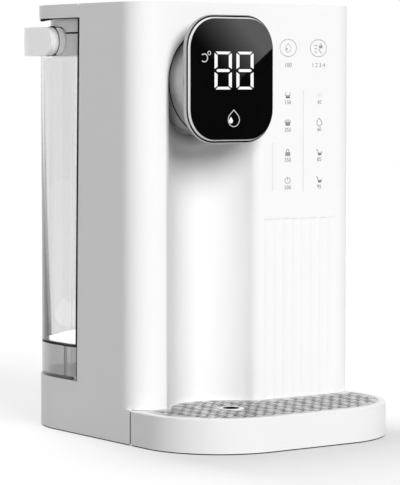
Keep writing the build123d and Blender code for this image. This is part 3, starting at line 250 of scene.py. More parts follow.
# %% [markdown]
# ## Finishes as node groups
# Moulded plastic is never one flat tone: its grain breaks up the gloss, and the colour drifts very
# slightly over a large wall. One node group makes both from the place on the piece, and each material
# sets its own size and depth. A second group draws fine lines for brushed metal.

# %% Group for moulded plastic and rubber


def new_group(name, inputs, outputs):
    """Empty shader group with named float inputs and outputs."""
    group = bpy.data.node_groups.new(name, "ShaderNodeTree")
    for socket, value in inputs.items():
        made = group.interface.new_socket(socket, in_out="INPUT", socket_type="NodeSocketFloat")
        made.default_value = value
    for socket in outputs:
        group.interface.new_socket(socket, in_out="OUTPUT", socket_type="NodeSocketFloat")
    group.nodes.new("NodeGroupInput")
    group.nodes.new("NodeGroupOutput")
    return group


moulded = new_group("moulded_finish", {"Grain Scale": 900.0, "Drift Scale": 14.0}, ("Grain", "Drift"))
start = moulded.nodes["Group Input"]
end = moulded.nodes["Group Output"]
place = moulded.nodes.new("ShaderNodeTexCoord")
for size, result, detail in (("Grain Scale", "Grain", 4.0), ("Drift Scale", "Drift", 2.0)):
    noise = moulded.nodes.new("ShaderNodeTexNoise")
    noise.inputs["Detail"].default_value = detail
    moulded.links.new(place.outputs["Object"], noise.inputs["Vector"])
    moulded.links.new(start.outputs[size], noise.inputs["Scale"])
    moulded.links.new(noise.outputs["Fac"], end.inputs[result])
print("group", moulded.name)

# %% Group for brushed metal
LINE_STRETCH = (60, 2200, 2200)
brushed = new_group("brushed_lines", {"Line Scale": 1.0, "Smear Scale": 30.0}, ("Lines", "Smear"))
start = brushed.nodes["Group Input"]
end = brushed.nodes["Group Output"]
place = brushed.nodes.new("ShaderNodeTexCoord")
stretch = brushed.nodes.new("ShaderNodeMapping")
stretch.inputs["Scale"].default_value = LINE_STRETCH
brushed.links.new(place.outputs["Object"], stretch.inputs["Vector"])
for vector, size, result in ((stretch.outputs[0], "Line Scale", "Lines"),
                             (place.outputs["Object"], "Smear Scale", "Smear")):
    noise = brushed.nodes.new("ShaderNodeTexNoise")
    brushed.links.new(vector, noise.inputs["Vector"])
    brushed.links.new(start.outputs[size], noise.inputs["Scale"])
    brushed.links.new(noise.outputs["Fac"], end.inputs[result])
print("group", brushed.name)

# %% [markdown]
# ## Materials
# Each material is a Principled shader with a group before it. The group's drift mixes two near tones,
# and its grain moves the roughness a little and feeds a Bump node. What is the same all over, such
# as transmission or metal, stands on the shader's own sockets.

# %% A material from two tones and a group


def finish(name, tones, rough, group, settings, bump, fixed=None):
    """Material whose colour, roughness and bump come from a group; fixed holds plain shader values."""
    paint = bpy.data.materials.new(name)
    paint.use_nodes = True
    tree = paint.node_tree
    shader = tree.nodes["Principled BSDF"]
    pattern = tree.nodes.new("ShaderNodeGroup")
    pattern.node_tree = group
    for socket, value in settings.items():
        pattern.inputs[socket].default_value = value
    fine, broad = pattern.outputs[0], pattern.outputs[1]
    colour = tree.nodes.new("ShaderNodeMix")
    colour.data_type = "RGBA"
    colour.inputs[6].default_value = (*tones[0], 1)
    colour.inputs[7].default_value = (*tones[1], 1)
    tree.links.new(broad, colour.inputs["Factor"])
    tree.links.new(colour.outputs[2], shader.inputs["Base Color"])
    gloss = tree.nodes.new("ShaderNodeMapRange")
    gloss.inputs["To Min"].default_value = rough[0]
    gloss.inputs["To Max"].default_value = rough[1]
    tree.links.new(fine, gloss.inputs["Value"])
    tree.links.new(gloss.outputs["Result"], shader.inputs["Roughness"])
    grain = tree.nodes.new("ShaderNodeBump")
    grain.inputs["Strength"].default_value = bump[0]
    grain.inputs["Distance"].default_value = bump[1]
    tree.links.new(fine, grain.inputs["Height"])
    tree.links.new(grain.outputs["Normal"], shader.inputs["Normal"])
    for socket, value in (fixed or {}).items():
        shader.inputs[socket].default_value = value
    return paint


def grey(level, tint=0.0):
    """A neutral tone, a little cooler with tint."""
    return (level - tint, level, level + tint)


print("middle grey", grey(0.5))

# %% One material for each slot of the record
FINE = {"Grain Scale": 900.0, "Drift Scale": 14.0}
COARSE = {"Grain Scale": 420.0, "Drift Scale": 25.0}
LINES = {"Line Scale": 1.0, "Smear Scale": 30.0}
slots = {
    "shell_white": finish("shell_white", (grey(0.915), grey(0.935)), (0.36, 0.46), moulded, FINE,
                          (0.05, 0.0002), {"Specular IOR Level": 0.4}),
    "tray_white": finish("tray_white", (grey(0.87), grey(0.89)), (0.30, 0.42), moulded, FINE,
                         (0.05, 0.0002), {"Specular IOR Level": 0.4}),
    # The handle's white glows faintly: painted light that makes it brighter than the side wall.
    "handle_white": finish("handle_white", (grey(0.92), grey(0.95)), (0.28, 0.40), moulded, FINE,
                           (0.06, 0.0002), {"Emission Color": (1, 1, 1, 1), "Emission Strength": 0.17}),
    "inner_grey": finish("inner_grey", (grey(0.50), grey(0.58)), (0.5, 0.7), moulded, COARSE,
                         (0.2, 0.0002), {}),
    "clear_tank": finish("clear_tank", (grey(0.81), grey(0.85)), (0.01, 0.04), moulded, FINE,
                         (0.02, 0.0001), {"Transmission Weight": 1.0, "IOR": 1.49}),
    "smoked_tank": finish("smoked_tank", (grey(0.54), grey(0.62)), (0.06, 0.14), moulded, FINE,
                          (0.05, 0.0001), {"Transmission Weight": 1.0, "IOR": 1.49}),
    "black_rubber": finish("black_rubber", (grey(0.006), grey(0.012)), (0.6, 0.8), moulded, COARSE,
                           (0.2, 0.0002), {"Specular IOR Level": 0.1}),
    "grey_rubber": finish("grey_rubber", (grey(0.10), grey(0.14)), (0.6, 0.8), moulded, COARSE,
                          (0.2, 0.0002), {}),
    "hose_silicone": finish("hose_silicone", (grey(0.80), grey(0.88)), (0.35, 0.5), moulded, FINE,
                            (0.05, 0.0002), {"Subsurface Weight": 0.2, "Subsurface Scale": 0.003}),
    "silver_trim": finish("silver_trim", (grey(0.40, 0.004), grey(0.46, 0.004)), (0.18, 0.30), brushed,
                          LINES, (0.03, 0.0001), {"Metallic": 1.0}),
    "ring_white": finish("ring_white", (grey(0.94), grey(0.96)), (0.15, 0.25), moulded, FINE,
                         (0.03, 0.0001), {}),
    "display_black": finish("display_black", (grey(0.0025), grey(0.004)), (0.0, 0.012), moulded, FINE,
                            (0.0, 0.0001), {"IOR": 1.9}),
    "led_white": finish("led_white", (grey(0.14), grey(0.18)), (0.4, 0.5), moulded, FINE,
                        (0.05, 0.0001), {"Emission Color": (1, 1, 1, 1), "Emission Strength": 0.85}),
    "circuit_green": finish("circuit_green", ((0.02, 0.13, 0.05), (0.03, 0.18, 0.07)), (0.3, 0.45),
                            moulded, COARSE, (0.1, 0.0001), {}),
    "component_black": finish("component_black", (grey(0.02), grey(0.03)), (0.4, 0.55), moulded, COARSE,
                              (0.1, 0.0001), {}),
    "grille_steel": finish("grille_steel", (grey(0.52), grey(0.60)), (0.22, 0.36), brushed, LINES,
                           (0.10, 0.0002), {"Metallic": 1.0}),
    "steel": finish("steel", (grey(0.55), grey(0.62)), (0.25, 0.40), brushed, LINES,
                    (0.10, 0.0002), {"Metallic": 1.0}),
    "spring_steel": finish("spring_steel", (grey(0.60), grey(0.66)), (0.12, 0.22), brushed, LINES,
                           (0.05, 0.0001), {"Metallic": 1.0}),
}
print("materials", len(slots))

# %% [markdown]
# ## Painted shade at certain places
# Three finishes get darker at certain places: this is painted shade. The recess for the cup darkens
# towards its left edge and close below the neck, where little light reaches it. A thick clear wall
# looks dark where it is seen edge-on, and the tank's painted dark band is widest at its foot. The
# grille's plate has waves pressed into it; they are not modelled, only their hollows are painted
# darker. The places come from node groups or Math nodes, and each only says how far the base colour
# moves towards a darker tone.

# %% Ramps, groups and darker tones


def ramp(tree, value, start, end):
    """Node value that goes from 0 at start to 1 at end."""
    moved = math_node(tree, "SUBTRACT", value, start)
    return math_node(tree, "DIVIDE", moved, end - start, clamp=True)


def in_material(material, group):
    """Puts a group into a material and gives back its outputs."""
    pattern = material.node_tree.nodes.new("ShaderNodeGroup")
    pattern.node_tree = group
    return pattern.outputs


def darken(material, mask, tone):
    """Moves a material's base colour towards a grey tone where a mask is 1."""
    tree = material.node_tree
    colour = tree.nodes["Principled BSDF"].inputs["Base Color"]
    shade = tree.nodes.new("ShaderNodeMix")
    shade.data_type = "RGBA"
    shade.inputs[7].default_value = (*grey(tone), 1)
    tree.links.new(mask, shade.inputs["Factor"])
    tree.links.new(colour.links[0].from_socket, shade.inputs[6])
    tree.links.new(shade.outputs[2], colour)
    print(material.name, "darker tone", tone)


# %% Soft shade in the recess
BAY_FRONT, BAY_BACK, BAY_LEFT = -0.0578, -0.024, -0.076
BAY_TOP, BAY_FULL = 0.262, 0.236
SHADE_END, SHADE_FULL = -0.029, -0.055
NECK_X, NECK_UP, NEAR_NECK, FAR_FROM_NECK = -0.0331, 0.2616, 0.0395, 0.0475
bay_group = new_group("bay_shade", {}, ("Left", "Below"))
across, deep, up = places(bay_group)
inside = math_node(bay_group, "MULTIPLY", math_node(bay_group, "GREATER_THAN", deep, BAY_FRONT),
                   math_node(bay_group, "LESS_THAN", deep, BAY_BACK))
inside = math_node(bay_group, "MULTIPLY", inside, ramp(bay_group, up, BAY_TOP, BAY_FULL))
inside = math_node(bay_group, "MULTIPLY", inside, math_node(bay_group, "GREATER_THAN", across, BAY_LEFT))
left = math_node(bay_group, "MULTIPLY", inside, ramp(bay_group, across, SHADE_END, SHADE_FULL))
side = math_node(bay_group, "POWER", math_node(bay_group, "SUBTRACT", across, NECK_X), 2.0)
rise = math_node(bay_group, "POWER", math_node(bay_group, "SUBTRACT", up, NECK_UP), 2.0)
away = math_node(bay_group, "SQRT", math_node(bay_group, "ADD", side, rise))
below = math_node(bay_group, "MULTIPLY", inside, ramp(bay_group, away, FAR_FROM_NECK, NEAR_NECK))
for name, value in (("Left", left), ("Below", below)):
    bay_group.links.new(value, bay_group.nodes["Group Output"].inputs[name])
bay = in_material(slots["shell_white"], bay_group)
darken(slots["shell_white"], bay["Left"], 0.66)
darken(slots["shell_white"], bay["Below"], 0.24)

# %% Painted dark edges of the clear tank
TANK_FOOT, TANK_RISE = 0.066, 0.215
BAND_START, BAND_SHIFT, BAND_RATE = 0.53, 0.32, 16.0
BEHIND, BEHIND_RATE = 0.05, 200.0
tree = slots["clear_tank"].node_tree
turn = tree.nodes.new("ShaderNodeLayerWeight")
turn.inputs["Blend"].default_value = 0.5
axes = places(tree)
height = math_node(tree, "SUBTRACT", axes["Z"], TANK_FOOT)
start = math_node(tree, "MULTIPLY_ADD", height, BAND_SHIFT / TANK_RISE, BAND_START)
painted_edge_shade = math_node(tree, "SUBTRACT", turn.outputs["Facing"], start)
painted_edge_shade = math_node(tree, "MULTIPLY", painted_edge_shade, BAND_RATE, clamp=True)
behind = math_node(tree, "SUBTRACT", axes["Y"], BEHIND)
behind = math_node(tree, "MULTIPLY", behind, BEHIND_RATE, clamp=True)
# Painted shade where the clear wall is seen edge-on, at the tank's rear and widest at its foot.
darken(slots["clear_tank"], math_node(tree, "MULTIPLY", painted_edge_shade, behind), 0.015)

# %% Painted shade of waves on the grille
ACROSS_SHARE, DEEP_SHARE, SWAY_LENGTH, DEPTH, LEVEL = 0.99, 0.14, 0.024, 1.1, 0.5
waves_group = new_group("wave_shade", {"Pitch": 0.0135, "Sway": 1.1}, ("Wave",))
start = waves_group.nodes["Group Input"].outputs
axes = places(waves_group)
turn = math_node(waves_group, "MULTIPLY", axes["X"], ACROSS_SHARE)
turn = math_node(waves_group, "MULTIPLY_ADD", axes["Y"], DEEP_SHARE, turn)
turn = math_node(waves_group, "DIVIDE", turn, start["Pitch"])
turn = math_node(waves_group, "MULTIPLY", turn, math.tau)
sway = math_node(waves_group, "MULTIPLY", axes["Y"], math.tau / SWAY_LENGTH)
sway = math_node(waves_group, "MULTIPLY", math_node(waves_group, "SINE", sway), start["Sway"])
wave = math_node(waves_group, "SINE", math_node(waves_group, "ADD", turn, sway))
wave = math_node(waves_group, "MULTIPLY_ADD", wave, DEPTH, LEVEL, clamp=True)
waves_group.links.new(wave, waves_group.nodes["Group Output"].inputs["Wave"])
# The waves' hollows are painted darker; no relief is modelled.
darken(slots["grille_steel"], in_material(slots["grille_steel"], waves_group)["Wave"], 0.26)

# %% [markdown]
# ## Finishes on the CAD nodes
# Each node takes the material of its slot. The neck alone gets a slightly darker white than the shell,
# because the photo shows it in half shade.

# %% Materials on the CAD nodes


def coat(piece, material):
    """Makes a material the only one on a piece."""
    piece.data.materials.clear()
    piece.data.materials.append(material)


# A darker copy of the shell's white: painted half shade on the neck.
shaded_neck_white = finish("shaded_neck_white", (grey(0.70), grey(0.73)), (0.36, 0.46), moulded, FINE, (0.05, 0.0002), {})
for name, node in nodes.items():
    coat(node, slots[slot_of[name]])
coat(nodes["head_neck"], shaded_neck_white)
print("coated", len(nodes))

# %% [markdown]
# ## Tools for flat prints
# The digits, signs and key symbols are flat: thin shapes that stand less than a tenth of a millimetre
# off the glass or the front. Each starts as a plane or a disc on the face, is shaped in edit mode, and
# gets its thickness from a Solidify modifier at the end. Parts of a shape are picked by their place.

# %% Select, pick and settle
GLASS_Y = -79.5
FRONT_Y = -58.5
SINK = 0.02
INK = 0.09


def only(*pieces):
    """Selects these objects alone; the first one is active."""
    bpy.ops.object.select_all(action="DESELECT")
    for piece in pieces:
        piece.select_set(True)
    bpy.context.view_layer.objects.active = pieces[0]


def pick(piece, kind, test):
    """Opens a piece in edit mode with the faces or vertices selected whose place passes a test in mm."""
    only(piece)
    bpy.ops.object.mode_set(mode="EDIT")
    bpy.ops.mesh.select_mode(type=kind)
    bpy.ops.mesh.select_all(action="DESELECT")
    bpy.ops.object.mode_set(mode="OBJECT")
    parts = piece.data.polygons if kind == "FACE" else piece.data.vertices
    for part in parts:
        place = part.center if kind == "FACE" else part.co
        part.select = test(place / MM)
    bpy.ops.object.mode_set(mode="EDIT")


def done(piece):
    """Leaves edit mode and puts place, turn and size of the object into its mesh."""
    if bpy.context.mode != "OBJECT":
        bpy.ops.object.mode_set(mode="OBJECT")
    only(piece)
    bpy.ops.object.transform_apply(location=True, rotation=True, scale=True)
    return piece


print("ink", INK, "mm")

# %% Planes, discs and copies on a face


def flat_bar(x, z, wide, tall, y, lean=0.0):
    """Plane that faces the front, with its middle at x and z in mm, turned by lean degrees."""
    bpy.ops.mesh.primitive_plane_add(size=MM, location=(x * MM, (y + SINK) * MM, z * MM),
                                     rotation=(math.pi / 2, math.radians(lean), 0))
    bpy.context.object.scale = (wide, tall, 1)
    return done(bpy.context.object)


def flat_disc(x, z, wide, tall, y, sides=40):
    """Filled disc that faces the front, with half width and half height in mm."""
    bpy.ops.mesh.primitive_circle_add(vertices=sides, radius=MM, fill_type="NGON",
                                      location=(x * MM, (y + SINK) * MM, z * MM),
                                      rotation=(math.pi / 2, 0, 0))
    bpy.context.object.scale = (wide, tall, 1)
    return done(bpy.context.object)


def hollow(piece, wall):
    """Turns a filled shape into a line of one width along its edge."""
    pick(piece, "FACE", lambda p: True)
    bpy.ops.mesh.inset(thickness=wall * MM)
    bpy.ops.mesh.delete(type="FACE")
    return done(piece)


def copy_of(piece, dx, dz, about=None):
    """Copy with its own mesh, first turned by half a turn about a point if one is given, then moved."""
    only(piece)
    bpy.ops.object.duplicate()
    made = bpy.context.object
    if about:
        made.rotation_euler = (0, math.pi, 0)
        made.location = (2 * about[0] * MM, 0, 2 * about[1] * MM)
        done(made)
    made.location = (dx * MM, 0, dz * MM)
    return done(made)


def printed(name, shapes, material):
    """Joins flat shapes to one piece, gives it its thickness and lets it ride on the machine's body."""
    only(*shapes)
    if len(shapes) > 1:
        bpy.ops.object.join()
    piece = bpy.context.object
    piece.name = name
    layer = piece.modifiers.new("ink", "SOLIDIFY")
    layer.thickness = INK * MM
    layer.offset = 1
    bpy.ops.object.modifier_apply(modifier="ink")
    coat(piece, material)
    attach(piece, "body")
    print(name, "faces", len(piece.data.polygons))
    return piece


# %% [markdown]
# ## Tools for solid pieces
# The other new pieces are solid: bands, rings, seals and blocks. Some of them are a changed copy of a
# node. Its mesh is merged first, changed in edit mode and given fresh shading.

# %% Modifiers, copies of nodes and finished pieces


def worked(piece, kind, **values):
    """Adds a modifier with its values and applies it."""
    only(piece)
    step = piece.modifiers.new("step", kind)
    for key, value in values.items():
        setattr(step, key, value)
    bpy.ops.object.modifier_apply(modifier="step")
    return piece


def dressed(piece, name, material, slot, body, *stands_for):
    """Names a finished piece, gives it its material, and lets it ride and replace nodes; slot is not used.
    """
    piece.name = name
    coat(piece, material)
    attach(piece, body)
    if stands_for:
        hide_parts(*stands_for)
    print(name, "faces", len(piece.data.polygons))
    return piece


def joined(pieces):
    """Joins pieces to the first one."""
    only(*pieces)
    bpy.ops.object.join()
    return bpy.context.object


def smooth(piece, angle):
    """Shades a piece smooth up to an angle in degrees."""
    only(piece)
    bpy.ops.object.shade_smooth_by_angle(angle=math.radians(angle))


def copy_of_node(name):
    """Copy of a CAD node with its own merged mesh, open in edit mode with everything selected."""
    only(nodes[name])
    bpy.ops.object.duplicate()
    made = bpy.context.object
    bpy.ops.mesh.customdata_custom_splitnormals_clear()
    bpy.ops.object.mode_set(mode="EDIT")
    bpy.ops.mesh.select_all(action="SELECT")
    bpy.ops.mesh.remove_doubles(threshold=0.00001)
    return made


print("tools ready")

# %% [markdown]
# ## Window of the display
# The dark window stands proud of its frame, and a white ring runs round it as a steep chamfer. Seen
# from the left, the ring is wide on that side, thin above and below, and hidden on the right, where
# it reaches closer to the frame's edge. Frame, ring and window start as a plane whose corners are
# bevelled to a large radius. An inset that also lifts makes the chamfer, and the band and the window
# in it are then kept as two pieces. A thin flat dark band between ring and frame is painted shade of
# the groove there.

# %% Rounded plates and the frame
HEAD_X, HEAD_Z = -33.1, 263.6
FRAME_W, FRAME_H, FRAME_R, FRAME_DEEP = 77.9, 92.4, 24.5, 3.25
RIM_Y, RIM_W, WINDOW_RISE, CHAMFER, WIDER = -77.75, 1.75, 1.75, 0.95, 1.1
GROOVE_IN, GROOVE_W = 0.65, 1.25


def rounded_plate(inward, y):
    """Plane that faces the front, as large as the frame less a margin, with rounded corners."""
    plate = flat_bar(HEAD_X, HEAD_Z, FRAME_W - 2 * inward, FRAME_H - 2 * inward, y - SINK)
    pick(plate, "VERT", lambda p: True)
    bpy.ops.mesh.bevel(offset=(FRAME_R - inward) * MM, affect="VERTICES", segments=18)
    return done(plate)


bezel = rounded_plate(0, RIM_Y)
worked(bezel, "SOLIDIFY", thickness=FRAME_DEEP * MM, offset=-1)
worked(bezel, "BEVEL", width=0.4 * MM, segments=3, limit_method="ANGLE", angle_limit=math.radians(50))
smooth(bezel, 35)
dressed(bezel, "display_frame", slots["silver_trim"], "silver_trim", "body", "display_bezel")

# %% Ring, window and groove
chamfer_white = finish("chamfer_white", (grey(0.66), grey(0.72)), (0.2, 0.3), moulded, FINE, (0.02, 0.0001),
                       {"Emission Color": (1, 1, 1, 1), "Emission Strength": 0.18})
# Black for the neck's seam, and for painted shade and shadow: the display's groove, the drain hole and the
# lines under the machine.
seam_and_shadow_black = finish("seam_and_shadow_black", (grey(0.004), grey(0.006)), (0.9, 1.0), moulded, COARSE,
                      (0.1, 0.0001), {"Specular IOR Level": 0.0})
ring = rounded_plate(RIM_W, RIM_Y)
pick(ring, "VERT", lambda p: p.x > HEAD_X)
bpy.ops.transform.translate(value=(WIDER * MM, 0, 0))
done(ring)
pick(ring, "FACE", lambda p: True)
bpy.ops.mesh.inset(thickness=CHAMFER * MM, depth=WINDOW_RISE * MM)
bpy.ops.mesh.separate(type="SELECTED")
window = [piece for piece in bpy.context.selected_objects if piece != ring][0]
done(window)
worked(ring, "SOLIDIFY", thickness=0.4 * MM, offset=-1)
worked(window, "SOLIDIFY", thickness=1.4 * MM, offset=-1)
smooth(ring, 35)
dressed(ring, "display_chamfer", chamfer_white, "ring_white", "body", "display_ring")
dressed(window, "display_window", slots["display_black"], "display_black", "body", "display_glass")
# A flat dark band: painted shade of the groove between ring and frame.
groove = hollow(rounded_plate(GROOVE_IN, RIM_Y - SINK), GROOVE_W)
worked(groove, "SOLIDIFY", thickness=0.1 * MM, offset=0)
dressed(groove, "display_groove_shade", seam_and_shadow_black, "display_black", "body")

# %% [markdown]
# ## Dark strips round the tank
# Between the side wall's edge and the tank runs a narrow gap, which shows as a dark line from the lid
# down to the skirt. Black strips in the gap are that line's painted shadow. The wall's edge leans back
# towards its foot, so each strip is a box whose lower corners are moved back. On each side two more
# dark strips under the lid's edge carry the painted shadow on, and the rear one is a wedge.

# %% Shadow strips beside the tank
SIDE_X = 100.65
EDGE_Y, EDGE_TOP, EDGE_FALL = 16.75, 308.9, 5.2 / 269.5
LID_SHADOW_LOW, LID_SHADOW_HIGH, WEDGE_LIFT = 308.2, 308.88, 1.2


def side_strip(side, low, high, y, deep, wide=2.2):
    """Upright box just behind the edge of a side wall; y is its front in mm."""
    bpy.ops.mesh.primitive_cube_add(size=MM, location=(side * (SIDE_X - wide / 2) * MM, (y + deep / 2) * MM,
                                                       (low + high) / 2 * MM))
    bpy.context.object.scale = (wide, deep, high - low)
    return worked(done(bpy.context.object), "BEVEL", width=0.1 * MM, segments=2)


def moved(piece, test, x, y, z):
    """Moves the corners of a piece whose places pass a test, by x, y and z in mm."""
    pick(piece, "VERT", test)
    bpy.ops.transform.translate(value=(x * MM, y * MM, z * MM))
    return done(piece)


def lean_strip(side, low, high, deep):
    """Strip that leans with the edge of the side wall."""
    strip = side_strip(side, low, high, EDGE_Y + EDGE_FALL * (EDGE_TOP - high), deep)
    return moved(strip, lambda p: p.z < (low + high) / 2, 0, EDGE_FALL * (high - low), 0)


# Black strips in the gap: painted shadow.
strips = [lean_strip(side, low, high, deep) for side in (-1, 1)
          for low, high, deep in ((65.0, 308.6, 2.5), (39.9, 64.9, 1.2))]
dressed(joined(strips), "bay_shadow_strips", slots["black_rubber"], "black_rubber", "body")
# Dark strips under the lid's edge: painted shadow.
lid_shadows = []
for side in (-1, 1):
    wedge = side_strip(side, LID_SHADOW_HIGH - 1.98, LID_SHADOW_HIGH, 56.0, 15.0)
    moved(wedge, lambda p: p.y < 60 and p.z < LID_SHADOW_LOW - 0.2, 0, 0, WEDGE_LIFT)
    lid_shadows += [side_strip(side, LID_SHADOW_LOW, LID_SHADOW_HIGH, 17.3, 38.0), wedge]
dressed(joined(lid_shadows), "lid_shadow_strips", slots["black_rubber"], "black_rubber", "lid")

# %% [markdown]
# ## Joint between tray and body
# The tray stands for its node as a copy whose rear ends stand back a little, so that a joint
# shows beside them. Black strips on the body in that joint are its painted shadow.

# %% Tray and the shadow strips of its joint
END_Y, END_GAP, ENDS_FROM = -48.0, 1.5, 66
JOINT_LOW, JOINT_HIGH, JOINT_Y, JOINT_DEEP, JOINT_IN = 1.6, 25.0, -49.3, 1.55, 0.45
tray = done(copy_of_node("drip_tray"))
moved(tray, lambda p: abs(p.y - END_Y) < 0.1 and abs(p.x) > ENDS_FROM, 0, -END_GAP, 0)
smooth(tray, 30)
dressed(tray, "tray_body", slots["tray_white"], "tray_white", "tray", "drip_tray")
# Black strips in the joint: painted shadow.
joint_shadows = []
for side in (-1, 1):
    joint_shadow = side_strip(side, JOINT_LOW, JOINT_HIGH, JOINT_Y, JOINT_DEEP)
    joint_shadows.append(moved(joint_shadow, lambda p: True, -side * JOINT_IN, 0, 0))
dressed(joined(joint_shadows), "tray_joint_shadows", slots["black_rubber"], "black_rubber", "body")

# %% [markdown]
# ## Handle's shadow rings, neck and collar
# Where the handle turns, dark rings stand beside its hubs, cylinders with a sunk outer face; they are
# painted shadow of the gap between hub and collar. The neck is a slimmer copy of its node with a dark
# seam at its root, a ring that is flattened where it lies on the front. The collar of the tank is a
# copy of its node, cut off above its hidden lip.

# %% Dark rings of the handle, painted shadow
SHADOW_RING_R, SHADOW_RING_T, SHADOW_RING_X, SHADOW_RING_Y, SHADOW_RING_Z = 11.4, 1.6, 93.2, 66.2, 292.1
# Dark rings: painted shadow of the gap between hub and collar.
shadow_rings = []
for side in (-1, 1):
    bpy.ops.mesh.primitive_cylinder_add(vertices=64, radius=SHADOW_RING_R * MM, depth=SHADOW_RING_T * MM,
                                        location=(side * SHADOW_RING_X * MM, SHADOW_RING_Y * MM, SHADOW_RING_Z * MM),
                                        rotation=(0, math.pi / 2, 0))
    shadow_ring = done(bpy.context.object)
    pick(shadow_ring, "FACE", lambda p: abs(p.x) > SHADOW_RING_X + SHADOW_RING_T / 2 - 0.1)
    bpy.ops.mesh.inset(thickness=1.2 * MM, depth=-0.2 * MM)
    shadow_rings.append(done(shadow_ring))
dressed(joined(shadow_rings), "handle_shadow_rings", slots["black_rubber"], "black_rubber", "tank")

# %% Slimmer neck with a seam at its root
NECK_Z, NECK_R, SLIM = 261.6, 44.0, 0.915
SEAM_Y, SEAM_OUT, SEAM_R = FRONT_Y - 0.35, 0.1, 0.42
neck = copy_of_node("head_neck")
bpy.ops.transform.resize(value=(SLIM, 1, SLIM), center_override=(HEAD_X * MM, 0, NECK_Z * MM))
done(neck)
smooth(neck, 32)
dressed(neck, "neck_housing", shaded_neck_white, "shell_white", "body", "head_neck")
bpy.ops.mesh.primitive_torus_add(major_segments=96, minor_segments=8,
                                 major_radius=(NECK_R * SLIM + SEAM_OUT) * MM, minor_radius=SEAM_R * MM,
                                 location=(HEAD_X * MM, SEAM_Y * MM, NECK_Z * MM),
                                 rotation=(math.pi / 2, 0, 0))
seam = done(bpy.context.object)
pick(seam, "VERT", lambda p: p.y > SEAM_Y + 0.01)
bpy.ops.transform.resize(value=(1, 0.5, 1), center_override=(0, SEAM_Y * MM, 0))
done(seam)
smooth(seam, 60)
dressed(seam, "neck_seam", seam_and_shadow_black, "black_rubber", "body")

# %% Collar without its hidden lip
COLLAR_CUT = 281.35
collar = copy_of_node("tank_collar")
bpy.ops.mesh.bisect(plane_co=(0, 0, COLLAR_CUT * MM), plane_no=(0, 0, 1), use_fill=True, clear_inner=True)
done(collar)
smooth(collar, 20)
dressed(collar, "collar_rim", slots["shell_white"], "shell_white", "tank", "tank_collar")

# %% [markdown]
# ## White floor of the tank
# Inside the tank's foot lies a white floor that rises towards the front. It is an outline with large
# rear and small front corners, drawn up to a block and cut by a slanted plane.

# %% White floor
LOW, HIGH, SLOPE, FLOOR_FRONT = 66.3, 78.0, 0.21, 28.7
FLOOR_W, FLOOR_D, REAR_R, FRONT_R = 192.4, 81.2, 54, 4
bpy.ops.mesh.primitive_plane_add(size=MM, location=(0, (FLOOR_FRONT + FLOOR_D / 2) * MM, LOW * MM))
bpy.context.object.scale = (FLOOR_W, FLOOR_D, 1)
tank_floor = done(bpy.context.object)
for radius, corners, steps in ((REAR_R, lambda p: p.y > FLOOR_FRONT + 1, 20),
                               (FRONT_R, lambda p: p.y < FLOOR_FRONT + 0.3, 5)):
    pick(tank_floor, "VERT", corners)
    bpy.ops.mesh.bevel(offset=radius * MM, affect="VERTICES", segments=steps)
    done(tank_floor)
pick(tank_floor, "FACE", lambda p: True)
bpy.ops.mesh.extrude_region_move(TRANSFORM_OT_translate={"value": (0, 0, (HIGH - LOW) * MM)})
bpy.ops.mesh.select_all(action="SELECT")
bpy.ops.mesh.normals_make_consistent(inside=False)
bpy.ops.mesh.bisect(plane_co=(0, FLOOR_FRONT * MM, HIGH * MM), plane_no=(0, SLOPE, 1), use_fill=True,
                    clear_outer=True)
done(tank_floor)
worked(tank_floor, "BEVEL", width=0.6 * MM, segments=2, limit_method="ANGLE", angle_limit=math.radians(50))
smooth(tank_floor, 35)
# The floor's white glows: painted light that stands for light reaching it through the clear tank.
glowing_floor_white = finish("glowing_floor_white", (grey(0.95), grey(0.97)), (0.35, 0.45), moulded, FINE, (0.03, 0.0002),
                     {"Emission Color": (1, 1, 1, 1), "Emission Strength": 0.9})
dressed(tank_floor, "tank_floor", glowing_floor_white, "shell_white", "tank", "tank_insert")

# %% [markdown]
# ## Spring of the tank's valve
# The poppet pushes against a coil spring, whose upper end stays in the valve's cap. The spring is a
# copy of its node, with its ends ground flat.

# %% Spring with flat ends
POPPET_TRAVEL, GROUND = 3.0, 0.12
(left, front, low), (right, rear, top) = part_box("valve_spring")
spring = copy_of_node("valve_spring")
for cut, turned in ((low + GROUND * MM, -1), (top - GROUND * MM, 1)):
    bpy.ops.mesh.select_all(action="SELECT")
    bpy.ops.mesh.bisect(plane_co=(0, 0, cut), plane_no=(0, 0, turned), use_fill=True, clear_outer=True)
done(spring)
smooth(spring, 50)
dressed(spring, "coil_spring", slots["spring_steel"], "spring_steel", "tank", "valve_spring")
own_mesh(spring)
print("spring", round((top - low) / MM, 2), "mm")

# %% [markdown]
# ## Drain of the grille
# Under the spout the grille has a round drain: a flat white ring about a dark hole, whose dark is a
# flat black disc, painted shade. Both are filled circles; the ring is made hollow.

# %% Drain ring and its dark middle
DRAIN_Y, RING_Z, HOLE_Z = -79.5, 25.79, 25.8


def flat_ring(radius, wall, z, thick, name, material, slot, *stands_for):
    """Flat disc or ring that lies on the grille; a wall of 0 keeps it a disc."""
    bpy.ops.mesh.primitive_circle_add(vertices=48, radius=radius * MM, fill_type="NGON",
                                      location=(HEAD_X * MM, DRAIN_Y * MM, z * MM))
    piece = done(bpy.context.object)
    if wall:
        hollow(piece, wall)
    worked(piece, "SOLIDIFY", thickness=thick * MM, offset=-1)
    worked(piece, "BEVEL", width=0.12 * MM, segments=2, limit_method="ANGLE",
           angle_limit=math.radians(50))
    return dressed(piece, name, material, slot, "grille", *stands_for)


flat_ring(9.6, 4.0, RING_Z, 0.4, "drain_ring", slots["ring_white"], "ring_white", "grille_ring")
# The hole's dark disc is painted shade.
flat_ring(6.3, 0, HOLE_Z, 0.3, "drain_hole_shade", seam_and_shadow_black, "component_black")

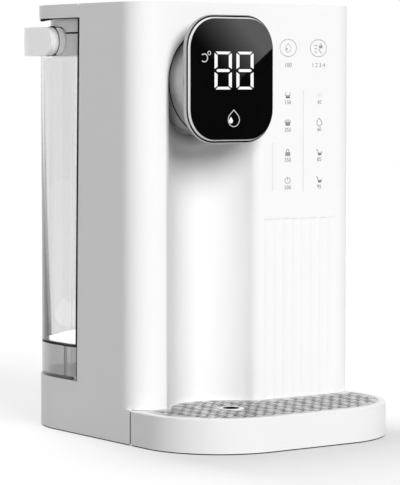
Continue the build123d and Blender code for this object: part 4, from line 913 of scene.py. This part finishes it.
# %% [markdown]
# ## Dark strips under the lower edges
# Between the machine's lower edge and the worktop runs a dark line, a contact shadow. It is painted as
# a thin black strip under the body and another under the tray. Each is an outline with rounded
# corners, made hollow, opened where body and tray meet, and drawn up from just above the worktop to
# the edge.

# %% Painted contact shadows of body and tray
STRIP_LOW, STRIP_TALL, STRIP_THICK, STRIP_W = 0.25, 0.7, 1.6, 200.7


def edge_strip(name, low, high, radius, open_at, body):
    """Strip between two places along Y in mm, open at one of them and round at the other."""
    bpy.ops.mesh.primitive_plane_add(size=MM, location=(0, (low + high) / 2 * MM, STRIP_LOW * MM))
    bpy.context.object.scale = (STRIP_W, high - low, 1)
    strip = done(bpy.context.object)
    pick(strip, "VERT", lambda p: abs(p.y - open_at) > 1)
    bpy.ops.mesh.bevel(offset=radius * MM, affect="VERTICES", segments=24)
    done(strip)
    hollow(strip, STRIP_THICK)
    pick(strip, "FACE", lambda p: abs(p.y - open_at) < STRIP_THICK)
    bpy.ops.mesh.delete(type="FACE")
    done(strip)
    worked(strip, "SOLIDIFY", thickness=STRIP_TALL * MM, offset=1)
    dressed(strip, name, seam_and_shadow_black, "black_rubber", body)


# Black strips under the edges: painted contact shadow.
edge_strip("body_contact_shadow", -47.0, 114.0, 58.7, -47.0, "body")
edge_strip("tray_contact_shadow", -133.6, -50.4, 62.7, -50.4, "tray")

# %% [markdown]
# ## Digits of the display
# The display shows two digits with all seven bars lit. The bars are mitred, so that dark gaps part
# them: the top bar is longer at its outer edge, the side bars likewise, and the middle bar is pointed
# at both ends. Each kind is modelled once, on the left digit, and copied to its other places.

# %% Bars of a digit
DIGIT_X, DIGIT_Z, DIGIT_STEP = -40.45, 269.8, 19.5
TOP_RISE, SIDE_OUT, SIDE_RISE = 12.6, 6.35, 6.8
top_bar = flat_bar(DIGIT_X, DIGIT_Z + TOP_RISE, 13.2, 1.9, GLASS_Y)
pick(top_bar, "VERT", lambda p: p.z < DIGIT_Z + TOP_RISE)
bpy.ops.transform.resize(value=(0.70, 1, 1))
done(top_bar)
side_bar = flat_bar(DIGIT_X - SIDE_OUT, DIGIT_Z + SIDE_RISE, 2.6, 11.3, GLASS_Y)
pick(side_bar, "VERT", lambda p: p.x > DIGIT_X - SIDE_OUT)
bpy.ops.transform.resize(value=(1, 1, 0.74))
done(side_bar)
middle_bar = flat_bar(DIGIT_X, DIGIT_Z, 12.0, 2.0, GLASS_Y)
pick(middle_bar, "VERT", lambda p: True)
bpy.ops.mesh.bevel(offset=0.95 * MM, affect="VERTICES")
done(middle_bar)
print("middle bar corners", len(middle_bar.data.vertices))

# %% Two digits
middle = (DIGIT_X, DIGIT_Z)
right_side = copy_of(side_bar, 0, 0, about=(DIGIT_X, DIGIT_Z + SIDE_RISE))
digit = [top_bar, middle_bar, side_bar, right_side, copy_of(top_bar, 0, 0, about=middle),
         copy_of(side_bar, 0, -2 * SIDE_RISE), copy_of(right_side, 0, -2 * SIDE_RISE)]
digit += [copy_of(bar, DIGIT_STEP, 0) for bar in digit]
printed("display_digits", digit, slots["led_white"])

# %% [markdown]
# ## Signs of the display
# Left of the digits stands the degree sign with its letter, which is a round line open to the left.
# Below them a drop is drawn as a thin grey line with a bright small drop in it. A drop is a disc whose
# top is pulled to a point: the corners above the places where straight lines touch the disc are
# dissolved, so that the sides run straight to the tip.

# %% Drops and open rings


def drop(x, z, wide, tip, y):
    """Disc of a half width with its top drawn out to a tip, tip mm above the disc's middle."""
    shape = flat_disc(x, z, wide, wide, y, 48)
    touch = wide * wide / tip
    pick(shape, "VERT", lambda p: p.z - z > touch and abs(p.x - x) > 0.01)
    bpy.ops.mesh.dissolve_verts()
    done(shape)
    pick(shape, "VERT", lambda p: p.z - z > touch and abs(p.x - x) < 0.01)
    bpy.ops.transform.translate(value=(0, 0, (tip - wide) * MM))
    return done(shape)


def open_ring(x, z, wide, tall, wall, y, gone):
    """Round line of a width, without the stretch whose places pass a test."""
    ring = hollow(flat_disc(x, z, wide, tall, y, 48), wall)
    pick(ring, "FACE", lambda p: gone(p.x - x, p.z - z))
    bpy.ops.mesh.delete(type="FACE")
    return done(ring)


degree_letter = open_ring(-57.1, 278.75, 3.2, 3.2, 0.75, GLASS_Y, lambda x, z: x < -1.9)
degree_ring = hollow(flat_disc(-52.8, 282.25, 1.55, 1.55, GLASS_Y, 24), 0.55)
DROP_X, DROP_Z = -30.95, 234.5
water_drop = hollow(drop(DROP_X, DROP_Z, 5.3, 7.5, GLASS_Y), 0.62)
bright_drop = drop(-33.5, 233.6, 1.7, 3.0, GLASS_Y)
print("tip corners", len(water_drop.data.vertices))

# %% Signs on the glass
dim_light = finish("led_dim", (grey(0.30), grey(0.36)), (0.4, 0.5), moulded, FINE, (0.05, 0.0001),
                   {"Emission Color": (1, 1, 1, 1), "Emission Strength": 0.30})
soft_light = finish("led_soft", (grey(0.14), grey(0.18)), (0.4, 0.5), moulded, FINE, (0.05, 0.0001),
                    {"Emission Color": (1, 1, 1, 1), "Emission Strength": 0.5})
printed("display_sign", [degree_letter, degree_ring], soft_light)
printed("display_drop", [water_drop], dim_light)
printed("display_drop_light", [bright_drop], slots["led_white"])

# %% [markdown]
# ## Touch panel
# Right of the display the front carries a printed touch panel: two keys in thin rings above, then two
# columns of four small signs, each with a number under it, and fine lines between the columns. The
# signs are plain ones that such machines share: drop, lock, cup, pot, clock. They are grey ink.

# %% Inks
ink_dark = finish("ink_dark", (grey(0.27), grey(0.33)), (0.5, 0.6), moulded, FINE, (0.05, 0.0001), {})
ink_light = finish("ink_light", (grey(0.42), grey(0.50)), (0.5, 0.6), moulded, FINE, (0.05, 0.0001), {})
ink_pale = finish("ink_pale", (grey(0.74), grey(0.78)), (0.5, 0.6), moulded, FINE, (0.05, 0.0001), {})
print("inks", ink_dark.name, ink_light.name, ink_pale.name)

# %% Rings of the two keys
KEY_X, KEY_STEP, KEY_Z = 34.6, 28.5, 286.8
key_ring = open_ring(KEY_X, KEY_Z, 8.0, 6.7, 0.62, FRONT_Y, lambda x, z: z > 0 and abs(x) < 1.5)
key_dot = flat_disc(KEY_X, KEY_Z + 6.35, 0.5, 0.5, FRONT_Y, 12)
key_drop = hollow(drop(KEY_X, KEY_Z - 0.6, 2.9, 4.3, FRONT_Y), 0.5)
printed("panel_rings", [key_ring, copy_of(key_ring, KEY_STEP, 0), key_drop], ink_light)

# %% Small signs of the keys


def lock(x, z, size):
    """Padlock: a body and half a ring over it; size is its width in mm."""
    shackle = open_ring(x, z + 0.2 * size, 0.33 * size, 0.42 * size, 0.14 * size, FRONT_Y,
                        lambda px, pz: pz < -0.1 * size)
    return [flat_bar(x, z - 0.2 * size, size, 0.62 * size, FRONT_Y), shackle]


stripes = [flat_bar(KEY_X + KEY_STEP - 2.4, KEY_Z + rise, 2.3, 0.6, FRONT_Y) for rise in (1.8, -0.5, -2.9)]
slash = flat_bar(KEY_X + KEY_STEP + 1.6, KEY_Z - 2.2, 0.65, 4.0, FRONT_Y, lean=-40)
spot = flat_disc(KEY_X - 1.3, KEY_Z - 0.9, 0.75, 0.75, FRONT_Y, 16)
printed("panel_key_signs", [key_dot, copy_of(key_dot, KEY_STEP, 0), spot, slash] + stripes
        + lock(KEY_X + KEY_STEP + 2.2, KEY_Z + 1.6, 3.2), ink_dark)

# %% Signs of the two columns
LEFT_X, RIGHT_X = 34.3, 64.2
ROWS = (251.8, 231.4, 209.0, 188.5)


def cup(x, z, wide, tall, fill):
    """Cup: a line open at the top and narrower at the foot, with its lower part filled."""
    wall = flat_bar(x, z, wide, tall, FRONT_Y)
    pick(wall, "VERT", lambda p: p.z < z)
    bpy.ops.transform.resize(value=(0.66, 1, 1))
    done(wall)
    hollow(wall, 0.55)
    pick(wall, "FACE", lambda p: p.z > z + 0.35 * tall)
    bpy.ops.mesh.delete(type="FACE")
    done(wall)
    water = flat_bar(x, z - 0.5 * tall + 0.5 * fill, 0.62 * wide, fill, FRONT_Y)
    return [wall, water]


signs = cup(LEFT_X, ROWS[0], 5.2, 4.6, 2.2) + cup(LEFT_X, ROWS[1], 5.8, 4.2, 2.9)
signs += [flat_bar(LEFT_X, ROWS[1] + 1.9, 3.4, 0.6, FRONT_Y)] + lock(LEFT_X, ROWS[2], 4.6)
clock = open_ring(LEFT_X, ROWS[3], 2.8, 2.4, 0.5, FRONT_Y, lambda x, z: z > 0 and abs(x) < 0.8)
signs += [clock, flat_bar(LEFT_X, ROWS[3] + 1.3, 0.6, 2.6, FRONT_Y)]
signs += [hollow(drop(RIGHT_X, ROWS[1] - 0.4, 2.6, 4.0, FRONT_Y), 0.6)]
for row in ROWS[2:]:
    signs += cup(RIGHT_X + 0.5, row - 0.6, 4.4, 3.2, 1.9)
    signs += [flat_bar(RIGHT_X - 1.9, row + 1.6, 1.9, 0.7, FRONT_Y, lean=35)]
printed("panel_signs", signs, ink_dark)
waves = [flat_bar(RIGHT_X + shift, ROWS[0], 0.6, 3.6, FRONT_Y, lean=14) for shift in (-2.0, 0, 2.0)]
printed("panel_waves", waves, ink_pale)

# %% Numbers under the signs


def number(text, x, z, tall):
    """Plain number on the front, made a mesh before its place is put into it."""
    bpy.ops.object.text_add(location=(x * MM, (FRONT_Y + SINK - INK) * MM, z * MM),
                            rotation=(math.pi / 2, 0, 0))
    line = bpy.context.object
    line.data.body = text
    line.data.align_x = "CENTER"
    line.data.align_y = "CENTER"
    line.data.size = tall * MM
    line.data.resolution_u = 3
    bpy.ops.object.convert(target="MESH")
    return done(bpy.context.object)


LABEL_DROP, KEY_DROP = 5.4, 12.8
labels = [number("100", KEY_X, KEY_Z - KEY_DROP, 4.6),
          number("1 2 3 4", KEY_X + KEY_STEP, KEY_Z - KEY_DROP, 4.6)]
for x, texts in ((LEFT_X, ("150", "250", "350", "500")), (RIGHT_X, ("45", "60", "85", "95"))):
    labels += [number(text, x, row - LABEL_DROP, 4.2) for text, row in zip(texts, ROWS)]
printed("panel_numbers", labels, ink_dark)

# %% Lines between the columns
lines = [flat_bar(49.0, 218.0, 0.8, 76.0, FRONT_Y), flat_bar(20.2, 198.8, 0.8, 35.5, FRONT_Y)]
printed("panel_lines", lines, ink_pale)
